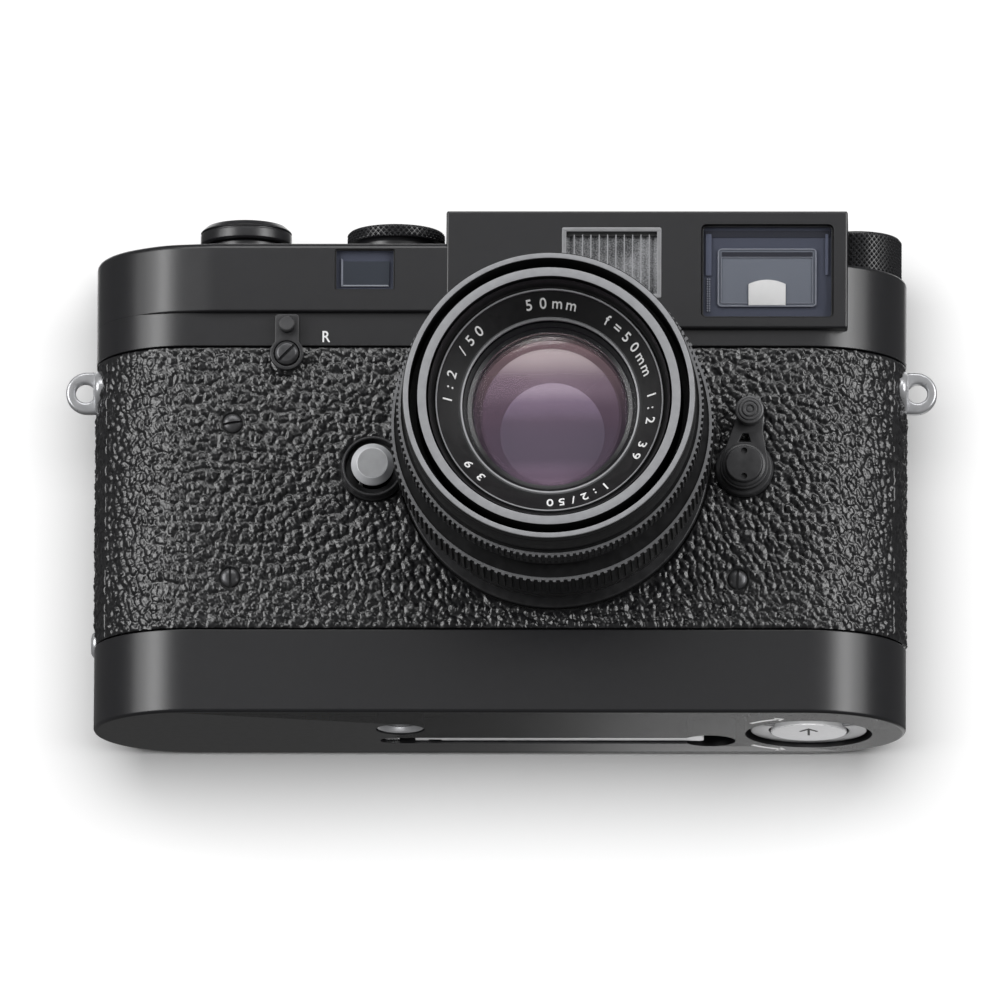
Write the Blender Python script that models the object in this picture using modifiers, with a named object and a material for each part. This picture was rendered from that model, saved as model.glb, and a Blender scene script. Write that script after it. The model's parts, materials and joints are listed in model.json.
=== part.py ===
"""Mechanical 35 mm rangefinder camera on a trigger winder base, as separate working pieces.

Every dimension below is in millimetres; the helpers turn millimetres into metres.
X runs along the body, -Y is the lens side, +Z is up, and the origin is the middle of the
winder's underside. Depths called "proud" are measured from the body's front plane towards -Y.
"""

import math

import bmesh
import bpy
from mathutils import Matrix, Vector

MM = 0.001
GAP = 0.3                       # running and seating clearance between neighbouring pieces
ROUND = 28                      # sides of a large turned piece
SMALL = 14                      # sides of a small turned piece

# Body envelope
BODY_LENGTH = 138.0
BODY_DEPTH = 33.5
END_RADIUS = BODY_DEPTH / 2
END_CENTRE = BODY_LENGTH / 2 - END_RADIUS
FRONT = -BODY_DEPTH / 2         # Y of the front plane
BACK = BODY_DEPTH / 2

# Height levels
WINDER_TOP = 14.3
BODY_BOTTOM = WINDER_TOP + GAP
SHELL_TOP = 63.1
COVERING_TOP = 63.25
COVER_BOTTOM = 63.55
REWIND_DECK = 78.2
RELEASE_DECK = 81.3
FINDER_TOP = 86.8
FINDER_BOTTOM = 66.4
STEP_LEVEL = 69.3

# Walls
WINDER_WALL = 1.5
WINDER_FLOOR = 1.6
COVERING = 0.8
SHELL_WALL = 1.25
COVER_WALL = 1.2
SHELL_RADIUS = END_RADIUS - COVERING - GAP

# Finder housing and overhang
FINDER_LEFT = -9.1
FINDER_RIGHT = 59.1
FINDER_PROUD = 1.35
OVERHANG_PROUD = 1.25
FINDER_WINDOW = (34.2, 56.7, 68.2, 84.5)        # low x, high x, low z, high z
FROSTED_WINDOW = (10.5, 27.5, 71.6, 84.0)
PATCH_WINDOW = (-28.0, -17.8, 73.0, 80.2)
EYEPIECE_AT = (46.0, 77.5)

# Top controls: x, y of each vertical axis
RELEASE_AT = (-43.7, 0.0)
DIAL_AT = (-18.1, 0.0)
KNOB_AT = (60.6, 0.0)
COUNTER_AT = (-57.0, -1.0)
COUNTER_WINDOW_AT = (-60.0, -5.0)
COUNTER_WINDOW_RADIUS = 2.5
DIAL_RADIUS = 8.2
KNOB_RADIUS = 7.5

# Lens and mount: x, z of the optical axis
LENS_AT = (9.45, 44.3)
THROAT_RADIUS = 22.0
FLANGE_RADIUS = 26.4
FLANGE_PROUD = 0.9

# Front controls: x, z
LENS_RELEASE_AT = (-21.3, 42.1)
SELECTOR_AT = (41.65, 42.2)
REWIND_LEVER_AT = (-36.05, 61.9)
SCREWS_AT = {
    "front_screw_upper": (-45.2, 50.1, 80.0),   # x, z, slot angle in degrees
    "front_screw_lower": (-45.4, 23.3, 0.0),
    "front_screw_right": (40.55, 23.0, 0.0),
}

# Film transport
SPOOL_AT = (-50.0, 0.0)
SPROCKET_AT = (-31.0, 3.95)
FILM_PLANE = 10.0               # Y of the film
GATE_SIZE = (36.0, 24.0)

# Back door
DOOR_LEFT = -24.0
DOOR_RIGHT = 36.0
DOOR_BOTTOM = 15.2
DOOR_TOP = 59.4
HINGE_Y = 15.75
HINGE_Z = 60.9

# Winder mechanism
BUSH_AT = (-16.8, -2.4)
SLOT_Y = 6.5
SLOT_LEFT = -20.5
SLOT_WIDTH = 4.4
RECESS_AT = (35.6, SLOT_Y)
RECESS_RADIUS = 4.4
LOCK_AT = (52.5, 1.0)
LOCK_WELL = 10.8
BAIL_HINGE_Y = -6.3
BAIL_HINGE_Z = 1.1
TRIGGER_PIVOT = (-13.5, 2.2)    # x, z
TRIGGER_TIP = 34.6
RACK_LEFT = -65.0
RACK_PITCH = 3.14
PINION_AT = (-31.0, 0.0)
PINION_RADIUS = 6.0
WHEEL_RADIUS = 9.35

# Strap lugs and base stud
LUG_Z = 59.0
STUD_Z = 15.2
STUD_RADIUS = 2.35

COLOURS = {
    "black_paint": ((0.045, 0.045, 0.048), 0.0, 0.42),
    "black_anodised": ((0.02, 0.02, 0.021), 0.3, 0.35),
    "covering": ((0.022, 0.022, 0.024), 0.0, 0.6),
    "chrome": ((0.72, 0.72, 0.73), 1.0, 0.28),
    "brass": ((0.62, 0.45, 0.2), 1.0, 0.35),
    "steel": ((0.45, 0.45, 0.46), 1.0, 0.35),
    "black_inner": ((0.015, 0.015, 0.015), 0.0, 0.7),
    "glass": ((0.35, 0.3, 0.36), 0.0, 0.05),
    "frosted": ((0.32, 0.33, 0.34), 0.0, 0.45),
    "curtain": ((0.03, 0.03, 0.03), 0.0, 0.9),
}


# ---------------------------------------------------------------- scene and helpers

def clear_scene():
    for obj in list(bpy.data.objects):
        bpy.data.objects.remove(obj, do_unlink=True)


def new_collection(name):
    made = bpy.data.collections.new(name)
    bpy.context.scene.collection.children.link(made)
    return made


clear_scene()
PARTS = new_collection("rangefinder_camera")
CUTTERS = new_collection("cutters")

TURNS = {
    "up": Matrix.Identity(4),
    "front": Matrix.Rotation(math.radians(90), 4, "X"),     # local Z to -Y, local Y to +Z
    "right": Matrix.Rotation(math.radians(90), 4, "Y"),     # local Z to +X
}


def material(name):
    """The shared Principled material for one finish."""
    found = bpy.data.materials.get(name)
    if found:
        return found
    made = bpy.data.materials.new(name)
    made.use_nodes = True
    shader = made.node_tree.nodes["Principled BSDF"]
    colour, metallic, roughness = COLOURS[name]
    shader.inputs["Base Color"].default_value = (*colour, 1.0)
    shader.inputs["Metallic"].default_value = metallic
    shader.inputs["Roughness"].default_value = roughness
    return made


def place(obj, at, axis, finish):
    """Put a new object in the model with its origin at a point given in millimetres."""
    PARTS.objects.link(obj)
    obj.matrix_world = Matrix.Translation(Vector(at) * MM) @ TURNS[axis]
    if finish:
        named = material(finish).copy()
        named.name = obj.name + "_finish"
        obj.data.materials.append(named)
    return obj


def turned(name, profile, at, axis="up", finish=None, sides=ROUND, ring=False):
    """Turn a (radius, height) profile, listed down its outer side, about the local Z axis."""
    points = [(radius * MM, 0.0, height * MM) for radius, height in profile]
    edges = [(i, i + 1) for i in range(len(points) - 1)]
    if ring:
        edges.append((len(points) - 1, 0))
    mesh = bpy.data.meshes.new(name)
    mesh.from_pydata(points, edges, [])
    obj = place(bpy.data.objects.new(name, mesh), at, axis, finish)
    screw = obj.modifiers.new("turn", "SCREW")
    screw.steps = sides
    screw.render_steps = sides
    screw.use_merge_vertices = True
    screw.merge_threshold = 0.00001
    screw.use_smooth_shade = True
    return obj


def plate(name, outlines, low, high, at=(0, 0, 0), axis="up", finish=None):
    """A flat outline, with its holes, given thickness from low to high along the local Z axis."""
    if isinstance(outlines[0][0], (int, float)):
        outlines = [outlines]
    curve = bpy.data.curves.new(name, "CURVE")
    curve.dimensions = "2D"
    curve.fill_mode = "BOTH"
    curve.extrude = (high - low) / 2 * MM
    for outline in outlines:
        spline = curve.splines.new("POLY")
        spline.points.add(len(outline) - 1)
        for point, (x, y) in zip(spline.points, outline):
            point.co = (x * MM, y * MM, 0.0, 1.0)
        spline.use_cyclic_u = True
    guide = bpy.data.objects.new(name + "_outline", curve)
    PARTS.objects.link(guide)
    bpy.context.view_layer.update()
    depsgraph = bpy.context.evaluated_depsgraph_get()
    mesh = bpy.data.meshes.new_from_object(guide.evaluated_get(depsgraph))
    bpy.data.objects.remove(guide, do_unlink=True)
    shape = bmesh.new()
    shape.from_mesh(mesh)
    bmesh.ops.remove_doubles(shape, verts=shape.verts, dist=0.000001)
    bmesh.ops.translate(shape, verts=shape.verts, vec=(0, 0, (low + high) / 2 * MM))
    bmesh.ops.recalc_face_normals(shape, faces=shape.faces)
    shape.to_mesh(mesh)
    shape.free()
    mesh.name = name
    return place(bpy.data.objects.new(name, mesh), at, axis, finish)


def block(name, low, high, at=(0, 0, 0), axis="up", finish=None):
    """A box between two corners."""
    size = [b - a for a, b in zip(low, high)]
    middle = [(a + b) / 2 for a, b in zip(low, high)]
    shape = bmesh.new()
    bmesh.ops.create_cube(shape, size=1.0)
    bmesh.ops.scale(shape, verts=shape.verts, vec=[side * MM for side in size])
    bmesh.ops.translate(shape, verts=shape.verts, vec=[m * MM for m in middle])
    mesh = bpy.data.meshes.new(name)
    shape.to_mesh(mesh)
    shape.free()
    return place(bpy.data.objects.new(name, mesh), at, axis, finish)


def rod(name, radius, low, high, at=(0, 0, 0), axis="up", finish=None, sides=SMALL):
    """A round bar from low to high along the local Z axis."""
    shape = bmesh.new()
    bmesh.ops.create_cone(
        shape, cap_ends=True, segments=sides, radius1=radius * MM, radius2=radius * MM,
        depth=(high - low) * MM, matrix=Matrix.Translation((0, 0, (low + high) / 2 * MM)))
    mesh = bpy.data.meshes.new(name)
    shape.to_mesh(mesh)
    shape.free()
    return place(bpy.data.objects.new(name, mesh), at, axis, finish)


def combine(target, operation, tools):
    """Boolean each tool into the target and file the tool with the cutters."""
    for tool in tools:
        PARTS.objects.unlink(tool)
        CUTTERS.objects.link(tool)
        tool.hide_render = True
        tool.display_type = "WIRE"
        boolean = target.modifiers.new(tool.name, "BOOLEAN")
        boolean.operation = operation
        boolean.solver = "EXACT"
        boolean.object = tool
    return target


def cut(target, *tools):
    return combine(target, "DIFFERENCE", tools)


def join(target, *tools):
    return combine(target, "UNION", tools)


def chamfer(obj, width):
    """Break the sharp edges of a piece that has no Boolean yet."""
    bevel = obj.modifiers.new("edges", "BEVEL")
    bevel.width = width * MM
    bevel.segments = 1
    bevel.limit_method = "ANGLE"
    bevel.angle_limit = math.radians(50)
    return obj


# ---------------------------------------------------------------- outlines

def arc(centre, radius, start, end, steps):
    """Points on an arc, angles in degrees, both ends included."""
    points = []
    for i in range(steps + 1):
        angle = math.radians(start + (end - start) * i / steps)
        points.append((centre[0] + radius * math.cos(angle), centre[1] + radius * math.sin(angle)))
    return points


def circle(centre, radius, sides=SMALL):
    return arc(centre, radius, 0, 360 * (sides - 1) / sides, sides - 1)


def stadium(radius, steps=12):
    """The body's plan with its round ends at a given radius about the end centres."""
    right = arc((END_CENTRE, 0), radius, -90, 90, steps)
    left = arc((-END_CENTRE, 0), radius, 90, 270, steps)
    return right + left


def rectangle(low, high):
    return [(low[0], low[1]), (high[0], low[1]), (high[0], high[1]), (low[0], high[1])]


def capsule(low_x, high_x, centre_y, width, steps=6):
    """A slot with round ends along X."""
    radius = width / 2
    right = arc((high_x - radius, centre_y), radius, -90, 90, steps)
    left = arc((low_x + radius, centre_y), radius, 90, 270, steps)
    return right + left


def toothed(teeth, root, tip):
    """A wheel outline with pointed teeth."""
    points = []
    pitch = 360 / teeth
    for i in range(teeth):
        for share, radius in ((0.02, root), (0.4, root), (0.7, tip)):
            angle = math.radians((i + share) * pitch)
            points.append((radius * math.cos(angle), radius * math.sin(angle)))
    return points


def tongue(base_radius, tip, tip_radius, steps=6):
    """A lever outline: a round hub at the origin tapering to a round tip at a point."""
    distance = math.hypot(*tip)
    heading = math.degrees(math.atan2(tip[1], tip[0]))
    spread = math.degrees(math.acos((base_radius - tip_radius) / distance))
    hub = arc((0, 0), base_radius, heading + spread, heading + 360 - spread, steps * 3)
    end = arc(tip, tip_radius, heading - spread, heading + spread, steps)
    return hub + end


# ---------------------------------------------------------------- winder base

def winder_housing():
    housing = plate("winder_housing", stadium(END_RADIUS), 0, WINDER_TOP, finish="black_paint")
    chamfer(housing, 0.5)
    slot = capsule(SLOT_LEFT, RECESS_AT[0] + 1, SLOT_Y, SLOT_WIDTH)
    cut(
        housing,
        plate("winder_cavity", stadium(END_RADIUS - WINDER_WALL), WINDER_FLOOR, WINDER_TOP + 5),
        rod("bush_hole", 4.05 + GAP, -2, 5, at=(*BUSH_AT, 0)),
        plate("trigger_slot", slot, -2, 5),
        rod("finger_recess", RECESS_RADIUS, -2, 5, at=(*RECESS_AT, 0)),
        rod("lock_well", LOCK_WELL, -2, 5, at=(*LOCK_AT, 0), sides=ROUND),
        rod("stud_notch", STUD_RADIUS + GAP, -75, -60, at=(0, 0, STUD_Z), axis="right"),
    )


def tripod_bush():
    profile = [
        (0, 7.0), (4.6, 7.0), (4.6, 3.1), (6.0, 3.1), (6.0, 1.9), (4.05, 1.9), (4.05, 0.25),
        (3.175, 0.25), (3.175, 6.0), (0, 6.0),
    ]
    turned("tripod_bush", profile, (*BUSH_AT, 0), finish="chrome", sides=24)


def trigger_carriage():
    """Sliding block over the slot: two cheeks and a pin for the trigger, and the rack behind."""
    x, z = TRIGGER_PIVOT
    carriage = block("trigger_carriage", (x - 6, 3.2, 4.5), (x + 4, 9.8, 6.5), finish="steel")
    low = RACK_LEFT
    rack = [(x - 3, 8.35), (low, 8.35)]
    for i in range(14):
        rack += [(low + i * RACK_PITCH, 7.4), (low + (i + 0.5) * RACK_PITCH, 6.45),
                 (low + (i + 0.8) * RACK_PITCH, 7.4)]
    rack.append((x - 3, 7.35))
    join(
        carriage,
        block("near_cheek", (x - 1.8, 4.6, 0.9), (x + 1.8, 5.1, 5.2)),
        block("far_cheek", (x - 1.7, 7.9, 0.9), (x + 1.7, 8.45, 5.2)),
        block("slot_stop", (x - 5.9, 4.8, 0.5), (x - 3.8, 8.2, 5.4)),
        plate("rack", rack, 4.75, 6.2),
        rod("trigger_pin", 0.7, -8.2, -4.8, at=(x, 0, z), axis="front", sides=12),
    )


def trigger_lever():
    """Folding finger lever, lying in the slot at rest, on the carriage's pin."""
    x, z = TRIGGER_PIVOT
    reach = TRIGGER_TIP - x
    bar = [(1.0, -1.85), (reach - 0.8, -1.85), (reach, -1.2), (reach, -0.45), (1.0, -0.45)]
    lever = plate("trigger_lever", bar, -1.6, 1.6, at=(x, SLOT_Y, z), axis="front",
                  finish="chrome")
    join(lever, rod("trigger_eye", 1.88, -1.1, 1.1, at=(x, SLOT_Y, z), axis="front"))
    cut(
        lever,
        rod("eye_bore", 1.0, -3, 3, at=(x, SLOT_Y, z), axis="front", sides=12),
        block("near_relief", (-2.5, 1.1, -2.5), (2.6, 2.5, 2.5), at=(x, SLOT_Y, z)),
        block("far_relief", (-2.5, -2.5, -2.5), (2.6, -1.1, 2.5), at=(x, SLOT_Y, z)),
    )


def drive_pinion():
    """Pinion driven by the rack, with the larger wheel above it on one shaft."""
    at = (*PINION_AT, 0)
    pinion = plate("drive_pinion", toothed(12, 5.1, PINION_RADIUS), 4.4, 6.6, at=at,
                   finish="brass")
    join(
        pinion,
        rod("pinion_shaft", 2.0, 1.9, 11.0, at=at),
        plate("pinion_wheel", toothed(19, 8.5, WHEEL_RADIUS), 8.3, 9.8, at=at),
    )


def coupling_gear():
    """Second wheel, whose shaft reaches up into the take-up spool."""
    at = (*SPOOL_AT, 0)
    gear = plate("coupling_gear", toothed(19, 8.5, WHEEL_RADIUS), 8.3, 9.8, at=at, finish="brass")
    join(
        gear,
        rod("coupling_shaft", 2.6, 1.9, 16.2, at=at),
        block("drive_dog", (-2.2, -0.6, 15.8), (2.2, 0.6, 18.0), at=at),
    )


def lock_disc():
    """Turning lock: face disc in the well, a retaining flange, a stem and the cam above."""
    at = (*LOCK_AT, 0)
    profile = [
        (0, 12.2), (3.0, 12.2), (3.0, 2.7), (12.0, 2.7), (12.0, 1.9), (6.4, 1.9), (6.4, 0.3),
        (0, 0.3),
    ]
    disc = turned("lock_disc", profile, at, finish="chrome")
    join(disc, plate("lock_cam", tongue(4.2, (7.5, 0), 2.0), 10.4, 11.9, at=at))


def lock_bail():
    """Horseshoe finger ring that folds out of the well."""
    ring = arc((0, 0), 9.9, -50, 230, 20) + arc((0, 0), 6.85, 230, -50, 20)
    shift = LOCK_AT[1] - BAIL_HINGE_Y
    outline = [(x, y + shift) for x, y in ring]
    plate("lock_bail", outline, -0.5, 0.5, at=(LOCK_AT[0], BAIL_HINGE_Y, BAIL_HINGE_Z),
          finish="chrome")


# ---------------------------------------------------------------- body

def body_shell():
    """Inner body casting: stadium tube with a top deck, open below, with the mount and door
    openings."""
    shell = plate("body_shell", stadium(SHELL_RADIUS), BODY_BOTTOM, SHELL_TOP,
                  finish="black_inner")
    x, z = LENS_AT
    cut(
        shell,
        plate("shell_cavity", stadium(SHELL_RADIUS - SHELL_WALL), 0, SHELL_TOP - 1.5),
        rod("shell_throat", THROAT_RADIUS + 0.5, 10, 20, at=(x, 0, z), axis="front", sides=ROUND),
        block("door_opening", (DOOR_LEFT - 0.9, 12, 0), (DOOR_RIGHT + 0.9, 20, HINGE_Z + 1.8)),
        rod("button_hole", 3.5, 10, 20, at=(LENS_RELEASE_AT[0], 0, LENS_RELEASE_AT[1]),
            axis="front"),
        rod("fork_hole", 2.6 + GAP, 55, 70, at=(*KNOB_AT, 0)),
    )


def front_covering():
    """Covering wrapped round both ends and the front, cut out for everything set into it."""
    outer = stadium(END_RADIUS)
    inner = stadium(END_RADIUS - COVERING)
    covering = plate("front_covering", [outer, inner], BODY_BOTTOM, COVERING_TOP,
                     finish="covering")
    x, z = LENS_AT
    cutters = [
        rod("covering_throat", FLANGE_RADIUS + GAP, 10, 20, at=(x, 0, z), axis="front",
            sides=ROUND),
        block("covering_door", (DOOR_LEFT - 0.6, 10, 0), (DOOR_RIGHT + 0.6, 20, 90)),
        rod("covering_button", 5.3, 10, 20, at=(LENS_RELEASE_AT[0], 0, LENS_RELEASE_AT[1]),
            axis="front"),
        rod("covering_selector", 5.1, 10, 20, at=(SELECTOR_AT[0], 0, SELECTOR_AT[1]),
            axis="front"),
        rod("covering_stud", STUD_RADIUS + GAP, -75, -60, at=(0, 0, STUD_Z), axis="right"),
        rod("covering_left_lug", 4.0, -75, -60, at=(0, 0, LUG_Z), axis="right"),
        rod("covering_right_lug", 4.0, 60, 75, at=(0, 0, LUG_Z), axis="right"),
    ]
    for name, (screw_x, screw_z, _) in SCREWS_AT.items():
        cutters.append(rod("hole_for_" + name, 2.0, 10, 20, at=(screw_x, 0, screw_z),
                           axis="front", sides=12))
    cut(covering, *cutters)


def finder_plan(inset):
    """Plan of the finder housing, its right rear corner following the body's round end."""
    left = FINDER_LEFT + inset
    right = FINDER_RIGHT - inset
    front = FRONT - FINDER_PROUD + inset
    radius = END_RADIUS - inset
    corner = math.degrees(math.acos((right - END_CENTRE) / radius))
    rear = arc((END_CENTRE, 0), radius, corner, 90, 4)
    return [(left, front), (right, front)] + rear + [(left, BACK - inset)]


def top_cover():
    """Painted top: rewind deck, release deck with its overhang, and the finder housing."""
    cover = plate("top_cover", stadium(END_RADIUS), COVER_BOTTOM, REWIND_DECK,
                  finish="black_paint")
    left_end = arc((-END_CENTRE, 0), END_RADIUS, 90, 270, 12)
    release_plan = left_end + [(FINDER_LEFT + 2, FRONT), (FINDER_LEFT + 2, BACK)]
    brow = FRONT - OVERHANG_PROUD
    overhang = [(-59.0, -15.2), (-56.0, -16.55), (-53.0, -17.5), (-50.0, brow),
                (FINDER_LEFT + 2, brow), (FINDER_LEFT + 2, -10), (-59.0, -10)]
    knob = (*KNOB_AT, 0)
    join(
        cover,
        plate("release_deck", release_plan, REWIND_DECK - 3, RELEASE_DECK),
        plate("release_overhang", overhang, STEP_LEVEL, RELEASE_DECK),
        plate("finder_housing", finder_plan(0), FINDER_BOTTOM, FINDER_TOP),
    )
    release_room = arc((-END_CENTRE, 0), END_RADIUS - COVER_WALL, 90, 270, 12)
    release_room += [(FINDER_LEFT + 3, FRONT + COVER_WALL), (FINDER_LEFT + 3, BACK - COVER_WALL)]
    finder_room = plate("finder_room", finder_plan(COVER_WALL), FINDER_BOTTOM + COVER_WALL,
                        FINDER_TOP - COVER_WALL)
    cut(finder_room, rod("knob_wall", KNOB_RADIUS + 2.1, REWIND_DECK - COVER_WALL, 95, at=knob,
                         sides=ROUND))
    cut(
        cover,
        rod("knob_room", KNOB_RADIUS + 0.9, REWIND_DECK, 95, at=knob, sides=ROUND),
        plate("cover_room", stadium(END_RADIUS - COVER_WALL), 50, REWIND_DECK - COVER_WALL),
        plate("release_room", release_room, 60, RELEASE_DECK - COVER_WALL),
        finder_room,
        rod("mount_clearance", FLANGE_RADIUS + GAP, 14, 25, at=(LENS_AT[0], 0, LENS_AT[1]),
            axis="front", sides=ROUND),
        rod("release_hole", 3.0 + GAP, 75, 95, at=(*RELEASE_AT, 0)),
        rod("knob_hole", 3.4, 70, 80, at=knob),
        rod("counter_hole", COUNTER_WINDOW_RADIUS + GAP, 75, 95, at=(*COUNTER_WINDOW_AT, 0)),
        rod("eyepiece_hole", 5.2, -20, -10, at=(EYEPIECE_AT[0], 0, EYEPIECE_AT[1]), axis="front"),
    )
    for name, (low_x, high_x, low_z, high_z) in (
            ("finder_opening", FINDER_WINDOW), ("frosted_opening", FROSTED_WINDOW),
            ("patch_opening", PATCH_WINDOW)):
        cut(cover, block(name, (low_x, -25, low_z), (high_x, -14, high_z)))


def window_pane(name, window, front, back, finish):
    low_x, high_x, low_z, high_z = window
    block(name, (low_x + GAP, front, low_z + GAP), (high_x - GAP, back, high_z - GAP),
          finish=finish)


def windows():
    window_pane("viewfinder_glass", FINDER_WINDOW, -17.6, -17.0, "glass")
    window_pane("illumination_window", FROSTED_WINDOW, -17.9, -17.0, "frosted")
    window_pane("rangefinder_window", PATCH_WINDOW, -17.6, -17.0, "glass")


def finder_prism():
    """Beam-combining prism block between the windows and the eyepiece."""
    outline = [(24.0, -6.0), (49.8, -6.0), (49.8, 5.0), (35.0, 5.0)]
    plate("finder_prism", outline, 70.5, 83.5, finish="glass")


def eyepiece():
    profile = [
        (4.9, -16.0), (4.9, -17.05), (6.6, -17.05), (6.6, -18.6), (5.9, -19.2), (4.2, -19.2),
        (3.6, -18.4), (3.6, -16.0),
    ]
    turned("eyepiece", profile, (EYEPIECE_AT[0], 0, EYEPIECE_AT[1]), "front",
           "black_anodised", sides=24, ring=True)


def mount_flange():
    profile = [(FLANGE_RADIUS, FLANGE_PROUD), (FLANGE_RADIUS, -0.8), (THROAT_RADIUS, -0.8),
               (THROAT_RADIUS, FLANGE_PROUD)]
    flange = turned("mount_flange", profile, (LENS_AT[0], FRONT, LENS_AT[1]), "front", "chrome",
                    ring=True)
    cut(flange, rod("release_clearance", 5.3, -5, 5,
                    at=(LENS_RELEASE_AT[0], FRONT, LENS_RELEASE_AT[1]), axis="front"))


def film_gate():
    """Film gate plate with its opening and two film rails."""
    x, z = LENS_AT
    width, height = GATE_SIZE
    outer = rectangle((-21.0, 17.0), (34.0, 59.5))
    window = rectangle((x - width / 2, z - height / 2), (x + width / 2, z + height / 2))
    gate = plate("film_gate", [outer, window], 1.3 - FILM_PLANE, 2.8 - FILM_PLANE, axis="front",
                 finish="black_inner")
    for name, rail_z in (("upper_rail", z + height / 2 + 1.5), ("lower_rail", z - height / 2 - 2.5)):
        join(gate, block(name, (-20.0, 8.0, rail_z), (33.0, FILM_PLANE - 1.0, rail_z + 1.0)))


def shutter_curtain():
    x, z = LENS_AT
    block("shutter_curtain", (x - 24, 5.9, z - 15), (x + 24, 6.3, z + 15), finish="curtain")


def sprocket():
    at = (*SPROCKET_AT, 0)
    drum = turned("sprocket", [(0, 58.5), (4.2, 58.5), (4.2, 27.5), (0, 27.5)], at,
                  finish="steel", sides=SMALL)
    for name, low in (("upper_teeth", 54.5), ("lower_teeth", 31.0)):
        join(drum, plate(name, toothed(8, 5.3, 6.0), low, low + 2.0, at=at))


def take_up_spool():
    profile = [
        (0, 59.5), (8.6, 59.5), (8.6, 58.0), (6.0, 58.0), (6.0, 21.0), (8.6, 21.0), (8.6, 19.0),
        (4.0, 19.0), (4.0, 15.6), (3.3, 15.6), (3.3, 20.0), (0, 20.0),
    ]
    turned("take_up_spool", profile, (*SPOOL_AT, 0), finish="black_inner", sides=SMALL)


def frame_counter():
    turned("frame_counter", [(0, 79.2), (7.2, 79.2), (7.2, 78.4), (0, 78.4)], (*COUNTER_AT, 0),
           finish="black_inner", sides=24)
    turned("counter_window", [(0, 81.7), (1.6, 81.6), (2.5, 81.2), (2.5, 80.3), (0, 80.3)],
           (*COUNTER_WINDOW_AT, 0), finish="glass", sides=SMALL)


def rewind_parts():
    """Knurled knob on its lifting collar, and the fork that drives the film cassette."""
    at = (*KNOB_AT, 0)
    knob = [(0, 86.0), (KNOB_RADIUS - 0.4, 86.0), (KNOB_RADIUS, 85.6), (KNOB_RADIUS, 79.9),
            (KNOB_RADIUS - 0.4, 79.5), (3.5, 79.5), (3.5, 84.5), (0, 84.5)]
    turned("rewind_knob", knob, at, finish="black_paint", sides=ROUND)
    collar = [(3.1, 84.0), (3.1, 76.2), (2.2, 76.2), (2.2, 84.0)]
    turned("rewind_collar", collar, at, finish="steel", sides=SMALL, ring=True)
    fork = turned("rewind_fork", [(0, 83.0), (1.8, 83.0), (1.8, 60.0), (2.6, 59.0), (2.6, 54.0),
                                  (0, 54.0)], at, finish="steel", sides=SMALL)
    cut(fork, block("fork_slot", (-4, -0.7, 50), (4, 0.7, 57), at=at))


def speed_dial():
    profile = [(0, 87.0), (DIAL_RADIUS - 0.4, 87.0), (DIAL_RADIUS, 86.7), (DIAL_RADIUS, 85.0),
               (6.9, 84.6), (6.9, RELEASE_DECK + GAP), (0, RELEASE_DECK + GAP)]
    turned("speed_dial", profile, (*DIAL_AT, 0), finish="black_paint")


def advance_lever():
    """Wind lever: a flat hub with an arm reaching to the rear right corner of the deck."""
    at = (*RELEASE_AT, 0)
    arm = tongue(5.2, (-21.0, 8.6), 2.6)
    lever = plate("advance_lever", arm, RELEASE_DECK + 1.0, RELEASE_DECK + 3.0, at=at,
                  finish="black_paint")
    join(lever, rod("lever_hub", 6.6, RELEASE_DECK + 0.4, RELEASE_DECK + 3.3, at=at, sides=24))
    cut(lever, rod("hub_bore", 3.0 + GAP, 75, 95, at=at))


def release_collar():
    """Fixed collar over the lever hub, dished round the shutter button."""
    profile = [
        (6.9, 88.0), (7.8, 87.0), (7.8, 84.95), (3.0, 84.95), (3.0, 79.6), (1.9, 79.6),
        (1.9, 86.2), (3.7, 86.2), (4.6, 88.0),
    ]
    turned("release_collar", profile, (*RELEASE_AT, 0), finish="black_paint", sides=24, ring=True)


def shutter_button():
    profile = [(0, 89.0), (2.6, 88.9), (3.2, 88.4), (3.2, 87.7), (1.5, 87.7), (1.5, 82.0),
               (0, 82.0)]
    turned("shutter_button", profile, (*RELEASE_AT, 0), finish="black_anodised", sides=SMALL)


def accessory_shoe():
    """Channel with inturned lips on the finder housing."""
    channel = [(-10.5, 0), (10.5, 0), (10.5, 2.4), (6.3, 2.4), (6.3, 1.8), (9.4, 1.8), (9.4, 0.7),
               (-9.4, 0.7), (-9.4, 1.8), (-6.3, 1.8), (-6.3, 2.4), (-10.5, 2.4)]
    plate("accessory_shoe", channel, -13.5, 4.5, at=(LENS_AT[0], 0, FINDER_TOP + GAP),
          axis="front", finish="black_anodised")


def strap_lugs():
    for name, side in (("strap_lug_left", -1), ("strap_lug_right", 1)):
        outline = arc((70.6, LUG_Z), 3.6, -90, 90, 10) + [(68.6, LUG_Z + 3.6), (68.6, LUG_Z - 3.6)]
        hole = circle((70.9, LUG_Z), 1.65, 12)
        mirrored = [[(side * x, z) for x, z in loop] for loop in (outline, hole)]
        lug = plate(name, mirrored, -0.8, 0.8, axis="front", finish="chrome")
        low, high = sorted((side * 68.25, side * 69.35))
        join(lug, rod(name + "_seat", 3.7, low, high, at=(0, 0, LUG_Z), axis="right"))
    rod("base_stud", STUD_RADIUS, -69.5, -68.2, at=(0, 0, STUD_Z), axis="right", finish="chrome")


def front_screws():
    for name, (x, z, angle) in SCREWS_AT.items():
        screw = turned(name, [(0, 0.35), (1.3, 0.3), (1.7, 0.0), (1.7, -0.7), (0, -0.7)],
                       (x, FRONT, z), "front", "black_anodised", sides=12)
        slot = block(name + "_slot", (-2.5, -0.22, -0.1), (2.5, 0.22, 1.0), at=(x, FRONT, z),
                     axis="front")
        slot.matrix_world = slot.matrix_world @ Matrix.Rotation(math.radians(90 - angle), 4, "Z")
        cut(screw, slot)


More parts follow.
